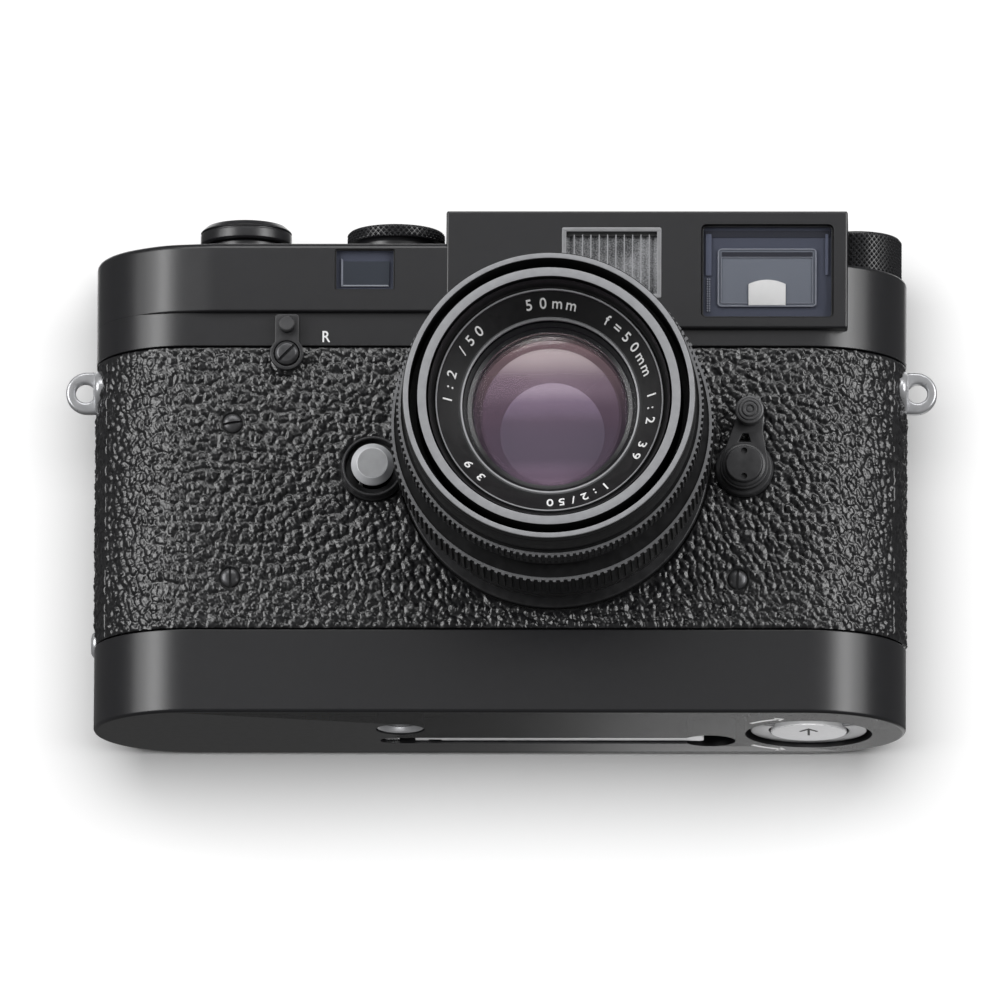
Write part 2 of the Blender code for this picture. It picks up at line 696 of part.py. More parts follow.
def rewind_release():
    """Rewind release lever on the front, with its slotted pivot screw."""
    x, z = REWIND_LEVER_AT
    at = (x, FRONT, z)
    arm = [(-2.05, 1.6), (-2.05, 6.2), (-1.4, 6.8), (1.4, 6.8), (2.05, 6.2), (2.05, 1.6)]
    outline = arm + arc((0, 0), 2.8, 35, -215, 12)
    lever = plate("rewind_release_lever", outline, GAP, 1.7, at=at, axis="front",
                  finish="black_paint")
    join(lever, rod("release_knob", 1.43, 1.0, 3.1, at=(x, FRONT, z + 4.9), axis="front",
                    sides=12))
    cut(lever, rod("release_bore", 2.35, -1, 5, at=at, axis="front"))
    screw = turned("release_lever_screw", [(0, 2.5), (1.6, 2.35), (2.05, 1.9), (2.05, GAP),
                                           (0, GAP)], at, "front", "black_anodised", sides=SMALL)
    slot = block("lever_screw_slot", (-3, -0.22, 1.7), (3, 0.22, 4), at=at, axis="front")
    slot.matrix_world = slot.matrix_world @ Matrix.Rotation(math.radians(45), 4, "Z")
    cut(screw, slot)


def frame_selector():
    """Frame selector: seat, sprung lever with its finger stud, and the pin-holed cap."""
    x, z = SELECTOR_AT
    at = (x, FRONT, z)
    turned("selector_base", [(0, 1.2), (4.6, 1.2), (4.8, 1.0), (4.8, -0.75), (0, -0.75)], at,
           "front", "black_paint", sides=24)
    lever = plate("frame_selector_lever", tongue(4.1, (0.9, 9.2), 2.3), 1.5, 2.9, at=at,
                  axis="front", finish="black_paint")
    join(lever, turned("selector_stud", [(0, 5.4), (2.1, 5.4), (2.44, 5.0), (2.44, 2.0), (0, 2.0)],
                       (x + 0.9, FRONT, z + 9.2), "front", sides=SMALL))
    relief = [(-0.9, 4.0), (1.1, 4.0), (0.6, 5.3), (-0.3, 5.3)]
    cut(lever, plate("selector_window", relief, 0, 4, at=at, axis="front"))
    cap = turned("selector_cap", [(0, 4.3), (2.9, 4.3), (3.1, 4.1), (3.1, 3.2), (0, 3.2)], at,
                 "front", "black_paint", sides=24)
    for name, offset in (("upper_pin_hole", 2.1), ("lower_pin_hole", -2.1)):
        cut(cap, rod(name, 0.55, 3.6, 5, at=(x, FRONT, z + offset), axis="front", sides=8))


def lens_release():
    x, z = LENS_RELEASE_AT
    at = (x, FRONT, z)
    cup = [(5.0, 2.6), (5.0, -0.8), (3.5, -0.8), (3.5, 0.0), (4.4, 0.0), (4.4, 2.6)]
    turned("lens_release_ring", cup, at, "front", "black_paint", sides=24, ring=True)
    button = [(0, 4.9), (2.5, 4.9), (3.2, 4.3), (3.2, -0.4), (0, -0.4)]
    turned("lens_release_button", button, at, "front", "chrome", sides=SMALL)


def back_door():
    """Rear door with its hinge knuckle, covering, pressure plate and hinge pin."""
    at = (0, HINGE_Y, HINGE_Z)
    door = block("back_door", (DOOR_LEFT, 14.5 - HINGE_Y, DOOR_BOTTOM - HINGE_Z),
                 (DOOR_RIGHT, 15.65 - HINGE_Y, DOOR_TOP - HINGE_Z + 0.9), at=at,
                 finish="black_inner")
    join(door, rod("door_knuckle", 1.25, DOOR_LEFT + 4, DOOR_RIGHT - 4, at=at, axis="right",
                   sides=12))
    cut(
        door,
        rod("knuckle_bore", 0.9, DOOR_LEFT - 5, DOOR_RIGHT + 5, at=at, axis="right", sides=12),
    )
    rod("door_hinge_pin", 0.55, DOOR_LEFT - 0.5, DOOR_RIGHT + 0.5, at=at, axis="right",
        finish="steel", sides=8)
    block("door_covering", (DOOR_LEFT, 15.95 - HINGE_Y, DOOR_BOTTOM - HINGE_Z),
          (DOOR_RIGHT, BACK - HINGE_Y, DOOR_TOP - HINGE_Z - 0.8), at=at, finish="covering")
    middle = LENS_AT[0]
    pressure = block("pressure_plate", (middle - 20, 10.9 - HINGE_Y, 30.0 - HINGE_Z),
                     (middle + 20, 12.0 - HINGE_Y, 57.5 - HINGE_Z), at=at, finish="black_inner")
    for name, post_z in (("lower_post", 36.0), ("upper_post", 52.0)):
        join(pressure, rod(name, 1.5, -14.2, -11.5, at=(middle, 0, post_z), axis="front",
                           sides=8))


def rangefinder_arm():
    """Follower arm with the roller that rides on the lens, turning on an upright pivot."""
    at = (LENS_AT[0] + 16.0, -7.0, 0)
    arm = plate("rangefinder_arm", tongue(2.4, (-16.0, -1.5), 1.6), 57.8, 59.0, at=at,
                finish="brass")
    join(arm, rod("follower_roller", 2.4, 55.6, 58.2, at=(LENS_AT[0], -8.4, 0), sides=12))


# ---------------------------------------------------------------- lens

def lens_bayonet():
    profile = [(24.3, 2.2), (24.3, 1.2), (21.6, 1.2), (21.6, -3.3), (19.0, -3.3), (19.0, 2.2)]
    lens_piece("lens_bayonet", profile, "chrome")


def lens_piece(name, profile, finish, ring=True, sides=ROUND):
    return turned(name, profile, (LENS_AT[0], FRONT, LENS_AT[1]), "front", finish, sides, ring)


def lens_barrel():
    profile = [(22.0, 26.4), (22.0, 15.5), (25.8, 15.5), (25.8, 6.2), (24.4, 5.8), (24.4, 2.5),
               (18.0, 2.5), (18.0, 26.4)]
    lens_piece("lens_barrel", profile, "black_anodised")


def focus_ring():
    profile = [(26.7, 25.2), (27.2, 24.8), (27.2, 16.2), (26.7, 15.8), (22.3, 15.8), (22.3, 25.2)]
    lens_piece("focus_ring", profile, "black_anodised")


def lens_head():
    profile = [
        (22.1, 46.5), (22.1, 33.0), (24.7, 33.0), (24.7, 26.8), (17.6, 26.8), (17.6, 4.5),
        (11.2, 4.5), (11.2, 10.0), (13.0, 10.0), (13.0, 35.3), (14.95, 35.3), (14.95, 37.7),
        (20.6, 37.7), (20.6, 46.5),
    ]
    lens_piece("lens_head", profile, "black_anodised")


def aperture_ring():
    profile = [(25.0, 37.8), (25.5, 37.4), (25.5, 33.7), (25.0, 33.3), (22.4, 33.3), (22.4, 37.8)]
    lens_piece("aperture_ring", profile, "black_anodised")


def lens_hood():
    profile = [(24.3, 47.0), (24.65, 46.6), (24.65, 38.1), (22.4, 38.1), (22.4, 39.4),
               (23.7, 39.4), (23.7, 47.0)]
    lens_piece("lens_hood", profile, "black_anodised")


def name_ring():
    profile = [(20.25, 45.9), (20.25, 38.0), (15.0, 38.0), (15.2, 38.9), (18.9, 42.7),
               (19.3, 42.9)]
    lens_piece("name_ring", profile, "black_anodised")


def glass_dome(apex, rim, radius, steps=5):
    """Points from the middle of a convex face out to its rim."""
    rise = apex - rim
    sphere = (radius ** 2 + rise ** 2) / (2 * rise)
    points = []
    for i in range(steps + 1):
        r = radius * i / steps
        points.append((r, apex - sphere + math.sqrt(sphere ** 2 - r ** 2)))
    return points


def glass_elements():
    front = glass_dome(41.2, 38.0, 14.6) + [(14.6, 35.7), (0, 35.7)]
    lens_piece("front_element", front, "glass", ring=False)
    lens_piece("rear_element", [(0, 9.0), (10.9, 8.0), (10.9, 5.4), (0, 4.9)], "glass",
               ring=False, sides=24)


def iris():
    """Aperture blades, shown as one ring with a ten-sided opening."""
    at = (LENS_AT[0], FRONT, LENS_AT[1])
    plate("iris", [circle((0, 0), 12.6, 20), circle((0, 0), 9.6, 10)], 21.8, 22.3, at=at,
          axis="front", finish="black_inner")


def build():
    winder_housing()
    tripod_bush()
    trigger_carriage()
    trigger_lever()
    drive_pinion()
    coupling_gear()
    lock_disc()
    lock_bail()

    body_shell()
    front_covering()
    top_cover()
    windows()
    finder_prism()
    eyepiece()
    mount_flange()
    film_gate()
    shutter_curtain()
    sprocket()
    take_up_spool()
    frame_counter()
    rewind_parts()
    speed_dial()
    advance_lever()
    release_collar()
    shutter_button()
    accessory_shoe()
    strap_lugs()
    front_screws()
    rewind_release()
    frame_selector()
    lens_release()
    back_door()
    rangefinder_arm()

    lens_bayonet()
    lens_barrel()
    focus_ring()
    lens_head()
    aperture_ring()
    lens_hood()
    name_ring()
    glass_elements()
    iris()


build()
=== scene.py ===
"""The looks of a mechanical rangefinder camera on its trigger winder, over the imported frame.

Lengths are in millimetres and scaled by MM where a mesh is made; lamps and the view camera are
in metres. X runs along the body, -Y is the lens side and +Z is up.
"""

import json
import math

import bmesh
import bpy
import numpy as np
from mathutils import Matrix, Quaternion, Vector

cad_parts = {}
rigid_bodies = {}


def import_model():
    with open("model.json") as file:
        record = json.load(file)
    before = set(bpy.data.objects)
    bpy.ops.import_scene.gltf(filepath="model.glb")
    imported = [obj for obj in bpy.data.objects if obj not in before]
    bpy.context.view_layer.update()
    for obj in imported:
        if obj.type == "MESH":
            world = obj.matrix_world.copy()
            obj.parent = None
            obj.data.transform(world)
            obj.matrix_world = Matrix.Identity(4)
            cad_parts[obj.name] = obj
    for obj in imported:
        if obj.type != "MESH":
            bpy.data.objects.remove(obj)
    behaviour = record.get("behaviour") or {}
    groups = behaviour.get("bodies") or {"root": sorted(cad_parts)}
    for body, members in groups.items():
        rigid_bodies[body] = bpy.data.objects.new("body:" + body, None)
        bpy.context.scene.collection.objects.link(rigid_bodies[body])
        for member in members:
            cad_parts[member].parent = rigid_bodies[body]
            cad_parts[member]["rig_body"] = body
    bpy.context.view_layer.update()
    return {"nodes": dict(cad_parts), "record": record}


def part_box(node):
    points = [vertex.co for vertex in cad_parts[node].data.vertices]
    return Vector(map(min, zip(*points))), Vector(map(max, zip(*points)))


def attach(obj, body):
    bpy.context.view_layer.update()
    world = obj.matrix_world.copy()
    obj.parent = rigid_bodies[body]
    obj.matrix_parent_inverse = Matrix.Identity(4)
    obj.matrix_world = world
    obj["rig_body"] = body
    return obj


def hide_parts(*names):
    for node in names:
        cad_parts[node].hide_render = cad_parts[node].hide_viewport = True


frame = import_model()

MM = 0.001
BODY_OF = {node: obj["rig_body"] for node, obj in frame["nodes"].items()}
SLOT_OF = {part["node"]: part["material_slot"] for part in frame["record"]["subparts"]}


# ---------------------------------------------------------------- places from the frame

def low_high(node):
    """Lowest and highest corner of a CAD node, in millimetres."""
    low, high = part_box(node)
    return low / MM, high / MM


def centre(node):
    low, high = low_high(node)
    return (low + high) / 2


SHELL_LOW, SHELL_HIGH = low_high("front_covering")
COVER_LOW, COVER_HIGH = low_high("top_cover")
WINDER_HIGH = low_high("winder_housing")[1]
END_RADIUS = SHELL_HIGH.y
END_CENTRE = SHELL_HIGH.x - END_RADIUS
FRONT = -END_RADIUS
BACK = END_RADIUS
LENS = centre("lens_barrel")
LENS_X = LENS.x
LENS_Z = LENS.z
DIAL = centre("speed_dial")
HUB = centre("release_collar")
KNOB = centre("rewind_knob")
RELEASE_DECK = low_high("speed_dial")[0].z - 0.3
REWIND_DECK = low_high("rewind_knob")[0].z - 1.3
FINDER_TOP = COVER_HIGH.z


# ---------------------------------------------------------------- materials

def new_material(name):
    """A material with the tree and the shader that its callers fill in."""
    made = bpy.data.materials.new(name)
    made.use_nodes = True
    return made, made.node_tree, made.node_tree.nodes["Principled BSDF"]


def noise_node(tree, scale, detail=4.0):
    """Noise laid in object space; scale counts features per metre."""
    noise = tree.nodes.new("ShaderNodeTexNoise")
    noise.inputs["Scale"].default_value = scale
    noise.inputs["Detail"].default_value = detail
    coords = tree.nodes.new("ShaderNodeTexCoord")
    tree.links.new(coords.outputs["Object"], noise.inputs["Vector"])
    return noise


def ramp_of(tree, source, stops):
    """A colour ramp with a list of (position, colour) stops."""
    ramp = tree.nodes.new("ShaderNodeValToRGB")
    elements = ramp.color_ramp.elements
    while len(elements) < len(stops):
        elements.new(0.5)
    for element, (place_at, colour) in zip(elements, stops):
        element.position = place_at
        element.color = (*colour, 1.0)
    tree.links.new(source, ramp.inputs["Fac"])
    return ramp


def ramp_between(tree, source, low, high, start=0.3, end=0.7):
    """A colour ramp from low to high over part of a texture's range."""
    return ramp_of(tree, source, [(start, low), (end, high)])


def math_node(tree, operation, source, factor, added=None):
    """A maths node on one output and a number, plus a second output where one is given."""
    node = tree.nodes.new("ShaderNodeMath")
    node.operation = operation
    node.inputs[1].default_value = factor
    tree.links.new(source, node.inputs[0])
    if added is not None:
        tree.links.new(added, node.inputs[2])
    return node.outputs["Value"]


BUMP_DEPTH = 0.00003                      # metres


def surface(name, colour, spread, metallic, roughness, rough_spread, grain, bump=0.0,
            bump_grain=0.0, coat=0.0, coat_roughness=0.1, specular=0.5):
    """A painted, plated or moulded finish with fine colour, gloss and height variation."""
    made, tree, shader = new_material(name)
    noise = noise_node(tree, grain, 5.0)
    dark = tuple(max(0.0, c * (1 - spread)) for c in colour)
    light = tuple(min(1.0, c * (1 + spread)) for c in colour)
    tint = ramp_between(tree, noise.outputs["Fac"], dark, light)
    tree.links.new(tint.outputs["Color"], shader.inputs["Base Color"])
    low = roughness - rough_spread
    high = roughness + rough_spread
    gloss = ramp_between(tree, noise.outputs["Fac"], (low, low, low), (high, high, high))
    tree.links.new(gloss.outputs["Color"], shader.inputs["Roughness"])
    shader.inputs["Metallic"].default_value = metallic
    shader.inputs["Specular IOR Level"].default_value = specular
    shader.inputs["Coat Weight"].default_value = coat
    shader.inputs["Coat Roughness"].default_value = coat_roughness
    if bump:
        fine = noise_node(tree, bump_grain, 3.0)
        relief = tree.nodes.new("ShaderNodeBump")
        relief.inputs["Strength"].default_value = bump
        relief.inputs["Distance"].default_value = BUMP_DEPTH
        tree.links.new(fine.outputs["Fac"], relief.inputs["Height"])
        tree.links.new(relief.outputs["Normal"], shader.inputs["Normal"])
    return made


GLASS_TINT = (0.55, 0.55, 0.6)


def solid_glass(name):
    """Thick clear glass for the optical blocks inside the body."""
    made, tree, shader = new_material(name)
    noise = noise_node(tree, 90.0)
    shade = ramp_between(tree, noise.outputs["Fac"], tuple(c * 0.94 for c in GLASS_TINT), GLASS_TINT)
    tree.links.new(shade.outputs["Color"], shader.inputs["Base Color"])
    shader.inputs["Roughness"].default_value = 0.03
    shader.inputs["Transmission Weight"].default_value = 1.0
    shader.inputs["IOR"].default_value = 1.5
    return made


PAINT = surface("black_lacquer", (0.013, 0.013, 0.0145), 0.05, 0.0, 0.31, 0.012, 700.0, 0.12,
                5200.0, coat=0.12, coat_roughness=0.26)
# a lighter, less glossy copy of the lacquer for upward faces: painted light in place of their glossy
# reflection
TOP_PAINTED_LIGHT = surface("deck_lacquer_painted_light", (0.021, 0.021, 0.023), 0.05, 0.0, 0.42, 0.012, 700.0, 0.12,
                     5200.0, specular=0.12)
ANODISED = surface("black_anodised", (0.022, 0.022, 0.023), 0.15, 0.35, 0.33, 0.05, 700.0, 0.1,
                   9000.0)
# pale grey: painted sheen on the black lens rings' front faces; the pale metal of the tripod bush
SHEEN_AND_PALE_METAL = surface("painted_sheen_and_pale_metal", (0.235, 0.237, 0.245), 0.05, 0.35, 0.42, 0.04, 900.0, 0.08,
                    9000.0)
# light grey: painted sheen on black rims' front faces, and painted highlights on the frosted
# window's rib crests
PAINTED_RIM_SHEEN = surface("painted_rim_sheen", (0.30, 0.303, 0.315), 0.04, 0.3, 0.42, 0.04, 900.0, 0.06, 9000.0)
# near black: the black of the lens tubes and marks, and painted shade in recesses, gaps and window
# seats
BLACK_AND_RECESS_SHADE = surface("black_and_painted_recess_shade", (0.006, 0.006, 0.0065), 0.2, 0.0, 0.5, 0.06, 800.0, 0.05, 9000.0)
INNER = surface("flat_black", (0.008, 0.008, 0.008), 0.25, 0.0, 0.75, 0.1, 600.0, 0.2, 4000.0)
LEATHER = surface("pebbled_leather", (0.008, 0.008, 0.009), 0.3, 0.0, 0.30, 0.06, 900.0, 0.5,
                  3800.0, specular=0.75)
CHROME = surface("satin_chrome", (0.78, 0.78, 0.79), 0.04, 1.0, 0.24, 0.05, 900.0, 0.08, 7000.0)
POLISHED = surface("polished_steel", (0.52, 0.525, 0.54), 0.03, 0.55, 0.30, 0.04, 900.0, 0.03,
                   7000.0)
SATIN_EDGE = surface("satin_edge", (0.62, 0.63, 0.65), 0.05, 0.25, 0.4, 0.05, 900.0, 0.08, 7000.0)
SATIN_FACE = surface("satin_face", (0.36, 0.365, 0.375), 0.05, 0.4, 0.5, 0.05, 900.0, 0.08, 7000.0)
STEEL = surface("machined_steel", (0.42, 0.42, 0.43), 0.05, 1.0, 0.35, 0.03, 900.0, 0.1, 7000.0)
BRASS = surface("machined_brass", (0.62, 0.44, 0.2), 0.1, 1.0, 0.35, 0.08, 500.0, 0.15, 5000.0)
CLOTH = surface("curtain_cloth", (0.02, 0.02, 0.02), 0.3, 0.0, 0.9, 0.05, 2500.0, 0.6, 5000.0)
# dark steel for the chrome flange: painted shade, as the flange lies in the lens's shadow
SHADED_FLANGE_STEEL = surface("flange_steel_painted_shade", (0.05, 0.05, 0.052), 0.1, 0.7, 0.4, 0.05, 700.0, 0.08,
                      7000.0)
WHITE_FILL = surface("engraved_white", (0.78, 0.78, 0.78), 0.04, 0.0, 0.5, 0.05, 900.0)
MASK_WHITE = surface("mask_white", (0.80, 0.80, 0.80), 0.03, 0.0, 0.5, 0.05, 900.0)
SCREW_BLACK = surface("screw_black", (0.09, 0.09, 0.094), 0.12, 0.6, 0.34, 0.05, 700.0, 0.1,
                      9000.0)
CONTROL_FACE = surface("control_face", (0.085, 0.085, 0.088), 0.1, 0.4, 0.4, 0.05, 600.0, 0.1,
                       8000.0)
CONTROL = surface("control_black", (0.040, 0.040, 0.042), 0.12, 0.2, 0.4, 0.05, 600.0, 0.1, 8000.0)
TRIGGER_STEEL = surface("trigger_steel", (0.70, 0.70, 0.71), 0.05, 0.4, 0.36, 0.06, 900.0, 0.08,
                        7000.0)
LOCK_FACE = surface("lock_face", (0.74, 0.74, 0.75), 0.04, 0.3, 0.42, 0.05, 900.0, 0.06, 7000.0)

CAD_FINISH = {
    "black_paint": PAINT, "black_anodised": ANODISED, "covering": LEATHER, "chrome": CHROME,
    "brass": BRASS, "steel": STEEL, "black_inner": INNER, "curtain": CLOTH,
}


# ---------------------------------------------------------------- mesh helpers

TURNS = {
    "up": Matrix.Identity(4),
    "down": Matrix.Rotation(math.radians(180), 4, "X"),      # local Z to -Z, local Y to -Y
    "front": Matrix.Rotation(math.radians(90), 4, "X"),      # local Z to -Y, local Y to +Z
    "right": Matrix.Rotation(math.radians(90), 4, "Y"),      # local Z to +X
}


def matrix(at, axis="up", spin=0.0):
    """Place in metres for a piece made in local millimetre coordinates times MM."""
    return (Matrix.Translation(Vector(at) * MM) @ TURNS[axis]
            @ Matrix.Rotation(math.radians(spin), 4, "Z"))


def as_piece(obj, finish, body, smooth=32.0):
    """Give a mesh object its material, shading and CAD body."""
    if not obj.users_collection:
        bpy.context.scene.collection.objects.link(obj)
    if finish is not None:
        obj.data.materials.clear()
        obj.data.materials.append(finish)
    obj.data.polygons.foreach_set("use_smooth", [True] * len(obj.data.polygons))
    shape = bmesh.new()
    shape.from_mesh(obj.data)
    limit = math.radians(smooth)
    for edge in shape.edges:
        edge.smooth = not (len(edge.link_faces) != 2 or edge.calc_face_angle(0.0) > limit)
    shape.to_mesh(obj.data)
    shape.free()
    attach(obj, body)
    return obj


UPWARD = 0.9                              # lowest z of an upward face's normal


def painted_light_tops(obj):
    """Painted light on the upward faces, which get a lighter, less glossy copy of the lacquer in
    place of their glossy reflection, and shading that keeps large flat faces flat.
    """
    obj.data.materials.append(TOP_PAINTED_LIGHT)
    for face in obj.data.polygons:
        if face.normal.z > UPWARD:
            face.material_index = 1
    weigh = obj.modifiers.new("even", "WEIGHTED_NORMAL")
    weigh.keep_sharp = True
    weigh.weight = 100
    return apply_modifiers(obj)


def lacquered(obj, body="camera"):
    """Finish a carved solid in black lacquer."""
    as_piece(obj, PAINT, body)
    return painted_light_tops(obj)


def mesh_object(name, vertices, faces, at=(0, 0, 0), axis="up"):
    """A mesh from millimetre coordinates, placed in the row frame."""
    mesh = bpy.data.meshes.new(name)
    mesh.from_pydata([tuple(float(c) * MM for c in v) for v in vertices], [], faces)
    obj = bpy.data.objects.new(name, mesh)
    obj.matrix_world = matrix(at, axis)
    return obj


WELD = 0.0000015                          # metres; closer vertices become one
CORNER_STEPS = 3
BOX_CORNER_STEPS = 6
END_STEPS = 40


def weld(mesh, lift=0.0):
    """Join doubled vertices, raise the mesh, and face its normals outwards."""
    shape = bmesh.new()
    shape.from_mesh(mesh)
    bmesh.ops.remove_doubles(shape, verts=shape.verts, dist=WELD)
    bmesh.ops.translate(shape, verts=shape.verts, vec=(0, 0, lift))
    bmesh.ops.recalc_face_normals(shape, faces=shape.faces)
    shape.to_mesh(mesh)
    shape.free()


def rounded(profile, radius, closed=False):
    """Round every corner of a 2-D line by up to a radius."""
    points = [np.array(p, float) for p in profile]
    count = len(points)
    out = []
    for i, here in enumerate(points):
        if not closed and i in (0, count - 1):
            out.append(here)
            continue
        before = points[i - 1]
        after = points[(i + 1) % count]
        into = before - here
        away = after - here
        reach = min(radius, 0.45 * np.hypot(*into), 0.45 * np.hypot(*away))
        first = here + into / np.hypot(*into) * reach
        last = here + away / np.hypot(*away) * reach
        for k in range(CORNER_STEPS + 1):
            t = k / CORNER_STEPS
            out.append((1 - t) ** 2 * first + 2 * t * (1 - t) * here + t * t * last)
    return [tuple(p) for p in out]


def lathe(name, profile, at, axis="up", finish=ANODISED, body="camera", slot="black_anodised",
          sides=160, soft=0.12, closed=False):
    """Turn a (radius, height) profile whose corners are rounded by up to soft."""
    line = rounded(profile, soft, closed=closed) if soft else [tuple(p) for p in profile]
    rows = len(line)
    vertices = []
    for s in range(sides):
        angle = 2 * math.pi * s / sides
        for radius, height in line:
            vertices.append((radius * math.cos(angle), radius * math.sin(angle), height))
    faces = []
    last_row = rows if closed else rows - 1
    for s in range(sides):
        a = s * rows
        b = ((s + 1) % sides) * rows
        for r in range(last_row):
            n = (r + 1) % rows
            faces.append((a + r, a + n, b + n, b + r))
    obj = mesh_object(name, vertices, faces, at, axis)
    weld(obj.data)
    return as_piece(obj, finish, body)


def arc(centre_at, radius, start, end, steps):
    """Points on an arc, angles in degrees, both ends included."""
    points = []
    for i in range(steps + 1):
        angle = math.radians(start + (end - start) * i / steps)
        points.append((centre_at[0] + radius * math.cos(angle),
                       centre_at[1] + radius * math.sin(angle)))
    return points


def circle(centre_at, radius, sides=64):
    return arc(centre_at, radius, 0, 360 * (sides - 1) / sides, sides - 1)


def stadium(radius):
    """The body's plan: two straight sides and two half-round ends."""
    return (arc((END_CENTRE, 0), radius, -90, 90, END_STEPS)
            + arc((-END_CENTRE, 0), radius, 90, 270, END_STEPS))


def round_box(low_x, high_x, low_y, high_y, radius):
    """A rectangle outline with round corners."""
    outline = []
    for x, y, start in ((high_x - radius, low_y + radius, -90),
                        (high_x - radius, high_y - radius, 0),
                        (low_x + radius, high_y - radius, 90),
                        (low_x + radius, low_y + radius, 180)):
        outline += arc((x, y), radius, start, start + 90, BOX_CORNER_STEPS)
    return outline


def evaluated_mesh(obj):
    """A copy of an object's mesh with its modifiers or curve shape worked out."""
    bpy.context.view_layer.update()
    depsgraph = bpy.context.evaluated_depsgraph_get()
    return bpy.data.meshes.new_from_object(obj.evaluated_get(depsgraph))


def mesh_of_curve(curve):
    guide = bpy.data.objects.new("guide", curve)
    bpy.context.scene.collection.objects.link(guide)
    mesh = evaluated_mesh(guide)
    bpy.data.objects.remove(guide, do_unlink=True)
    return mesh


def slab(name, outlines, low, high, at=(0, 0, 0), axis="up", finish=PAINT, body="camera",
         edge=0.15, steps=2):
    """A flat outline with holes, given thickness and softly rounded edges."""
    if isinstance(outlines[0][0], (int, float)):
        outlines = [outlines]
    curve = bpy.data.curves.new(name, "CURVE")
    curve.dimensions = "2D"
    curve.fill_mode = "BOTH"
    curve.bevel_depth = edge * MM
    curve.bevel_resolution = steps
    curve.offset = -edge * MM
    curve.extrude = max(0.0, ((high - low) / 2 - edge)) * MM
    for outline in outlines:
        spline = curve.splines.new("POLY")
        spline.points.add(len(outline) - 1)
        for point, (x, y) in zip(spline.points, outline):
            point.co = (x * MM, y * MM, 0.0, 1.0)
        spline.use_cyclic_u = True
    mesh = mesh_of_curve(curve)
    weld(mesh, (low + high) / 2 * MM)
    mesh.name = name
    obj = bpy.data.objects.new(name, mesh)
    obj.matrix_world = matrix(at, axis)
    return as_piece(obj, finish, body)


def inset(outline, distance):
    """Move a counter-clockwise outline inwards by a distance."""
    points = np.array(outline, float)
    before = points - np.roll(points, 1, 0)
    after = np.roll(points, -1, 0) - points
    before /= np.linalg.norm(before, axis=1)[:, None]
    after /= np.linalg.norm(after, axis=1)[:, None]
    first = np.stack([-before[:, 1], before[:, 0]], 1)
    last = np.stack([-after[:, 1], after[:, 0]], 1)
    middle = first + last
    middle /= np.linalg.norm(middle, axis=1)[:, None]
    reach = distance / np.maximum(0.3, (middle * first).sum(1))
    return points + middle * reach[:, None]


def levels(low, high, low_round, high_round, steps=4):
    """(height, inset) pairs up the side of a solid with its bottom and top edges rounded."""
    bottom = [(low + low_round * (1 - math.cos(math.pi / 2 * k / steps)),
               low_round * (1 - math.sin(math.pi / 2 * k / steps))) for k in range(steps + 1)]
    top = [(high - high_round * (1 - math.sin(math.pi / 2 * k / steps)),
            high_round * (1 - math.cos(math.pi / 2 * k / steps))) for k in range(steps + 1)]
    return bottom + top


def loft(name, outline, sides, at=(0, 0, 0), axis="up"):
    """An unfinished solid from one counter-clockwise outline, inset by an amount at each height."""
    rings = [inset(outline, by) if by else np.array(outline, float) for _, by in sides]
    count = len(outline)
    vertices = [(x, y, z) for ring, (z, _) in zip(rings, sides) for x, y in ring]
    faces = [tuple(range(count))[::-1], tuple(range((len(sides) - 1) * count, len(sides) * count))]
    for row in range(len(sides) - 1):
        for i in range(count):
            n = (i + 1) % count
            faces.append((row * count + i, row * count + n, (row + 1) * count + n,
                          (row + 1) * count + i))
    obj = mesh_object(name, vertices, faces, at, axis)
    bpy.context.scene.collection.objects.link(obj)
    return obj


def carve(obj, tools):
    """Boolean the tools out of a mesh and apply the result."""
    for tool in tools:
        cutter = obj.modifiers.new("cut", "BOOLEAN")
        cutter.operation = "DIFFERENCE"
        cutter.solver = "EXACT"
        cutter.object = tool
    apply_modifiers(obj)
    for tool in tools:
        bpy.data.objects.remove(tool, do_unlink=True)
    return obj


def bevel(obj, width, segments):
    """Round the sharp edges of a carved solid."""
    edges = obj.modifiers.new("edges", "BEVEL")
    edges.width = width * MM
    edges.segments = segments
    edges.limit_method = "ANGLE"
    edges.angle_limit = math.radians(60)
    return apply_modifiers(obj)


def drilled(obj, tools, finish):
    """Move a piece's place into its mesh, carve it in the row frame and finish it."""
    obj.data.transform(obj.matrix_world)
    obj.parent = None
    obj.matrix_world = Matrix.Identity(4)
    return as_piece(carve(obj, tools), finish, "camera")


def turned(points, degrees):
    """Points of a plan turned about the origin."""
    across = math.cos(math.radians(degrees))
    up = math.sin(math.radians(degrees))
    return [(x * across - y * up, x * up + y * across) for x, y in points]


def apply_modifiers(obj):
    made = evaluated_mesh(obj)
    obj.modifiers.clear()
    obj.data = made
    return obj


LETTER_DEPTH = 0.05


def lettering(name, text, size, at, axis, body, spin=0.0, width=1.0, bold=0.0):
    """Generic figures and marks as thin white shapes that hardly stand above a face."""
    curve = bpy.data.curves.new(name, "FONT")
    curve.body = text
    curve.size = size * MM
    curve.align_x = "CENTER"
    curve.align_y = "CENTER"
    curve.offset = bold * MM
    curve.extrude = LETTER_DEPTH * MM
    mesh = mesh_of_curve(curve)
    for vertex in mesh.vertices:
        vertex.co.x *= width
    obj = bpy.data.objects.new(name, mesh)
    obj.matrix_world = matrix(at, axis, spin)
    return as_piece(obj, WHITE_FILL, body)


# ---------------------------------------------------------------- camera, stage and lights

VIEW_ELEVATION = math.radians(12.6)       # the viewer looks up at the underside
VIEW_AZIMUTH = math.radians(1.35)
VIEW_ROLL = math.radians(0.33)
VIEW_DISTANCE = 4.0
VIEW_TARGET = Vector((-0.000145, 0.0, 0.0405))
AIM = (0, 0, 0.045)                       # where most lamps point, in metres


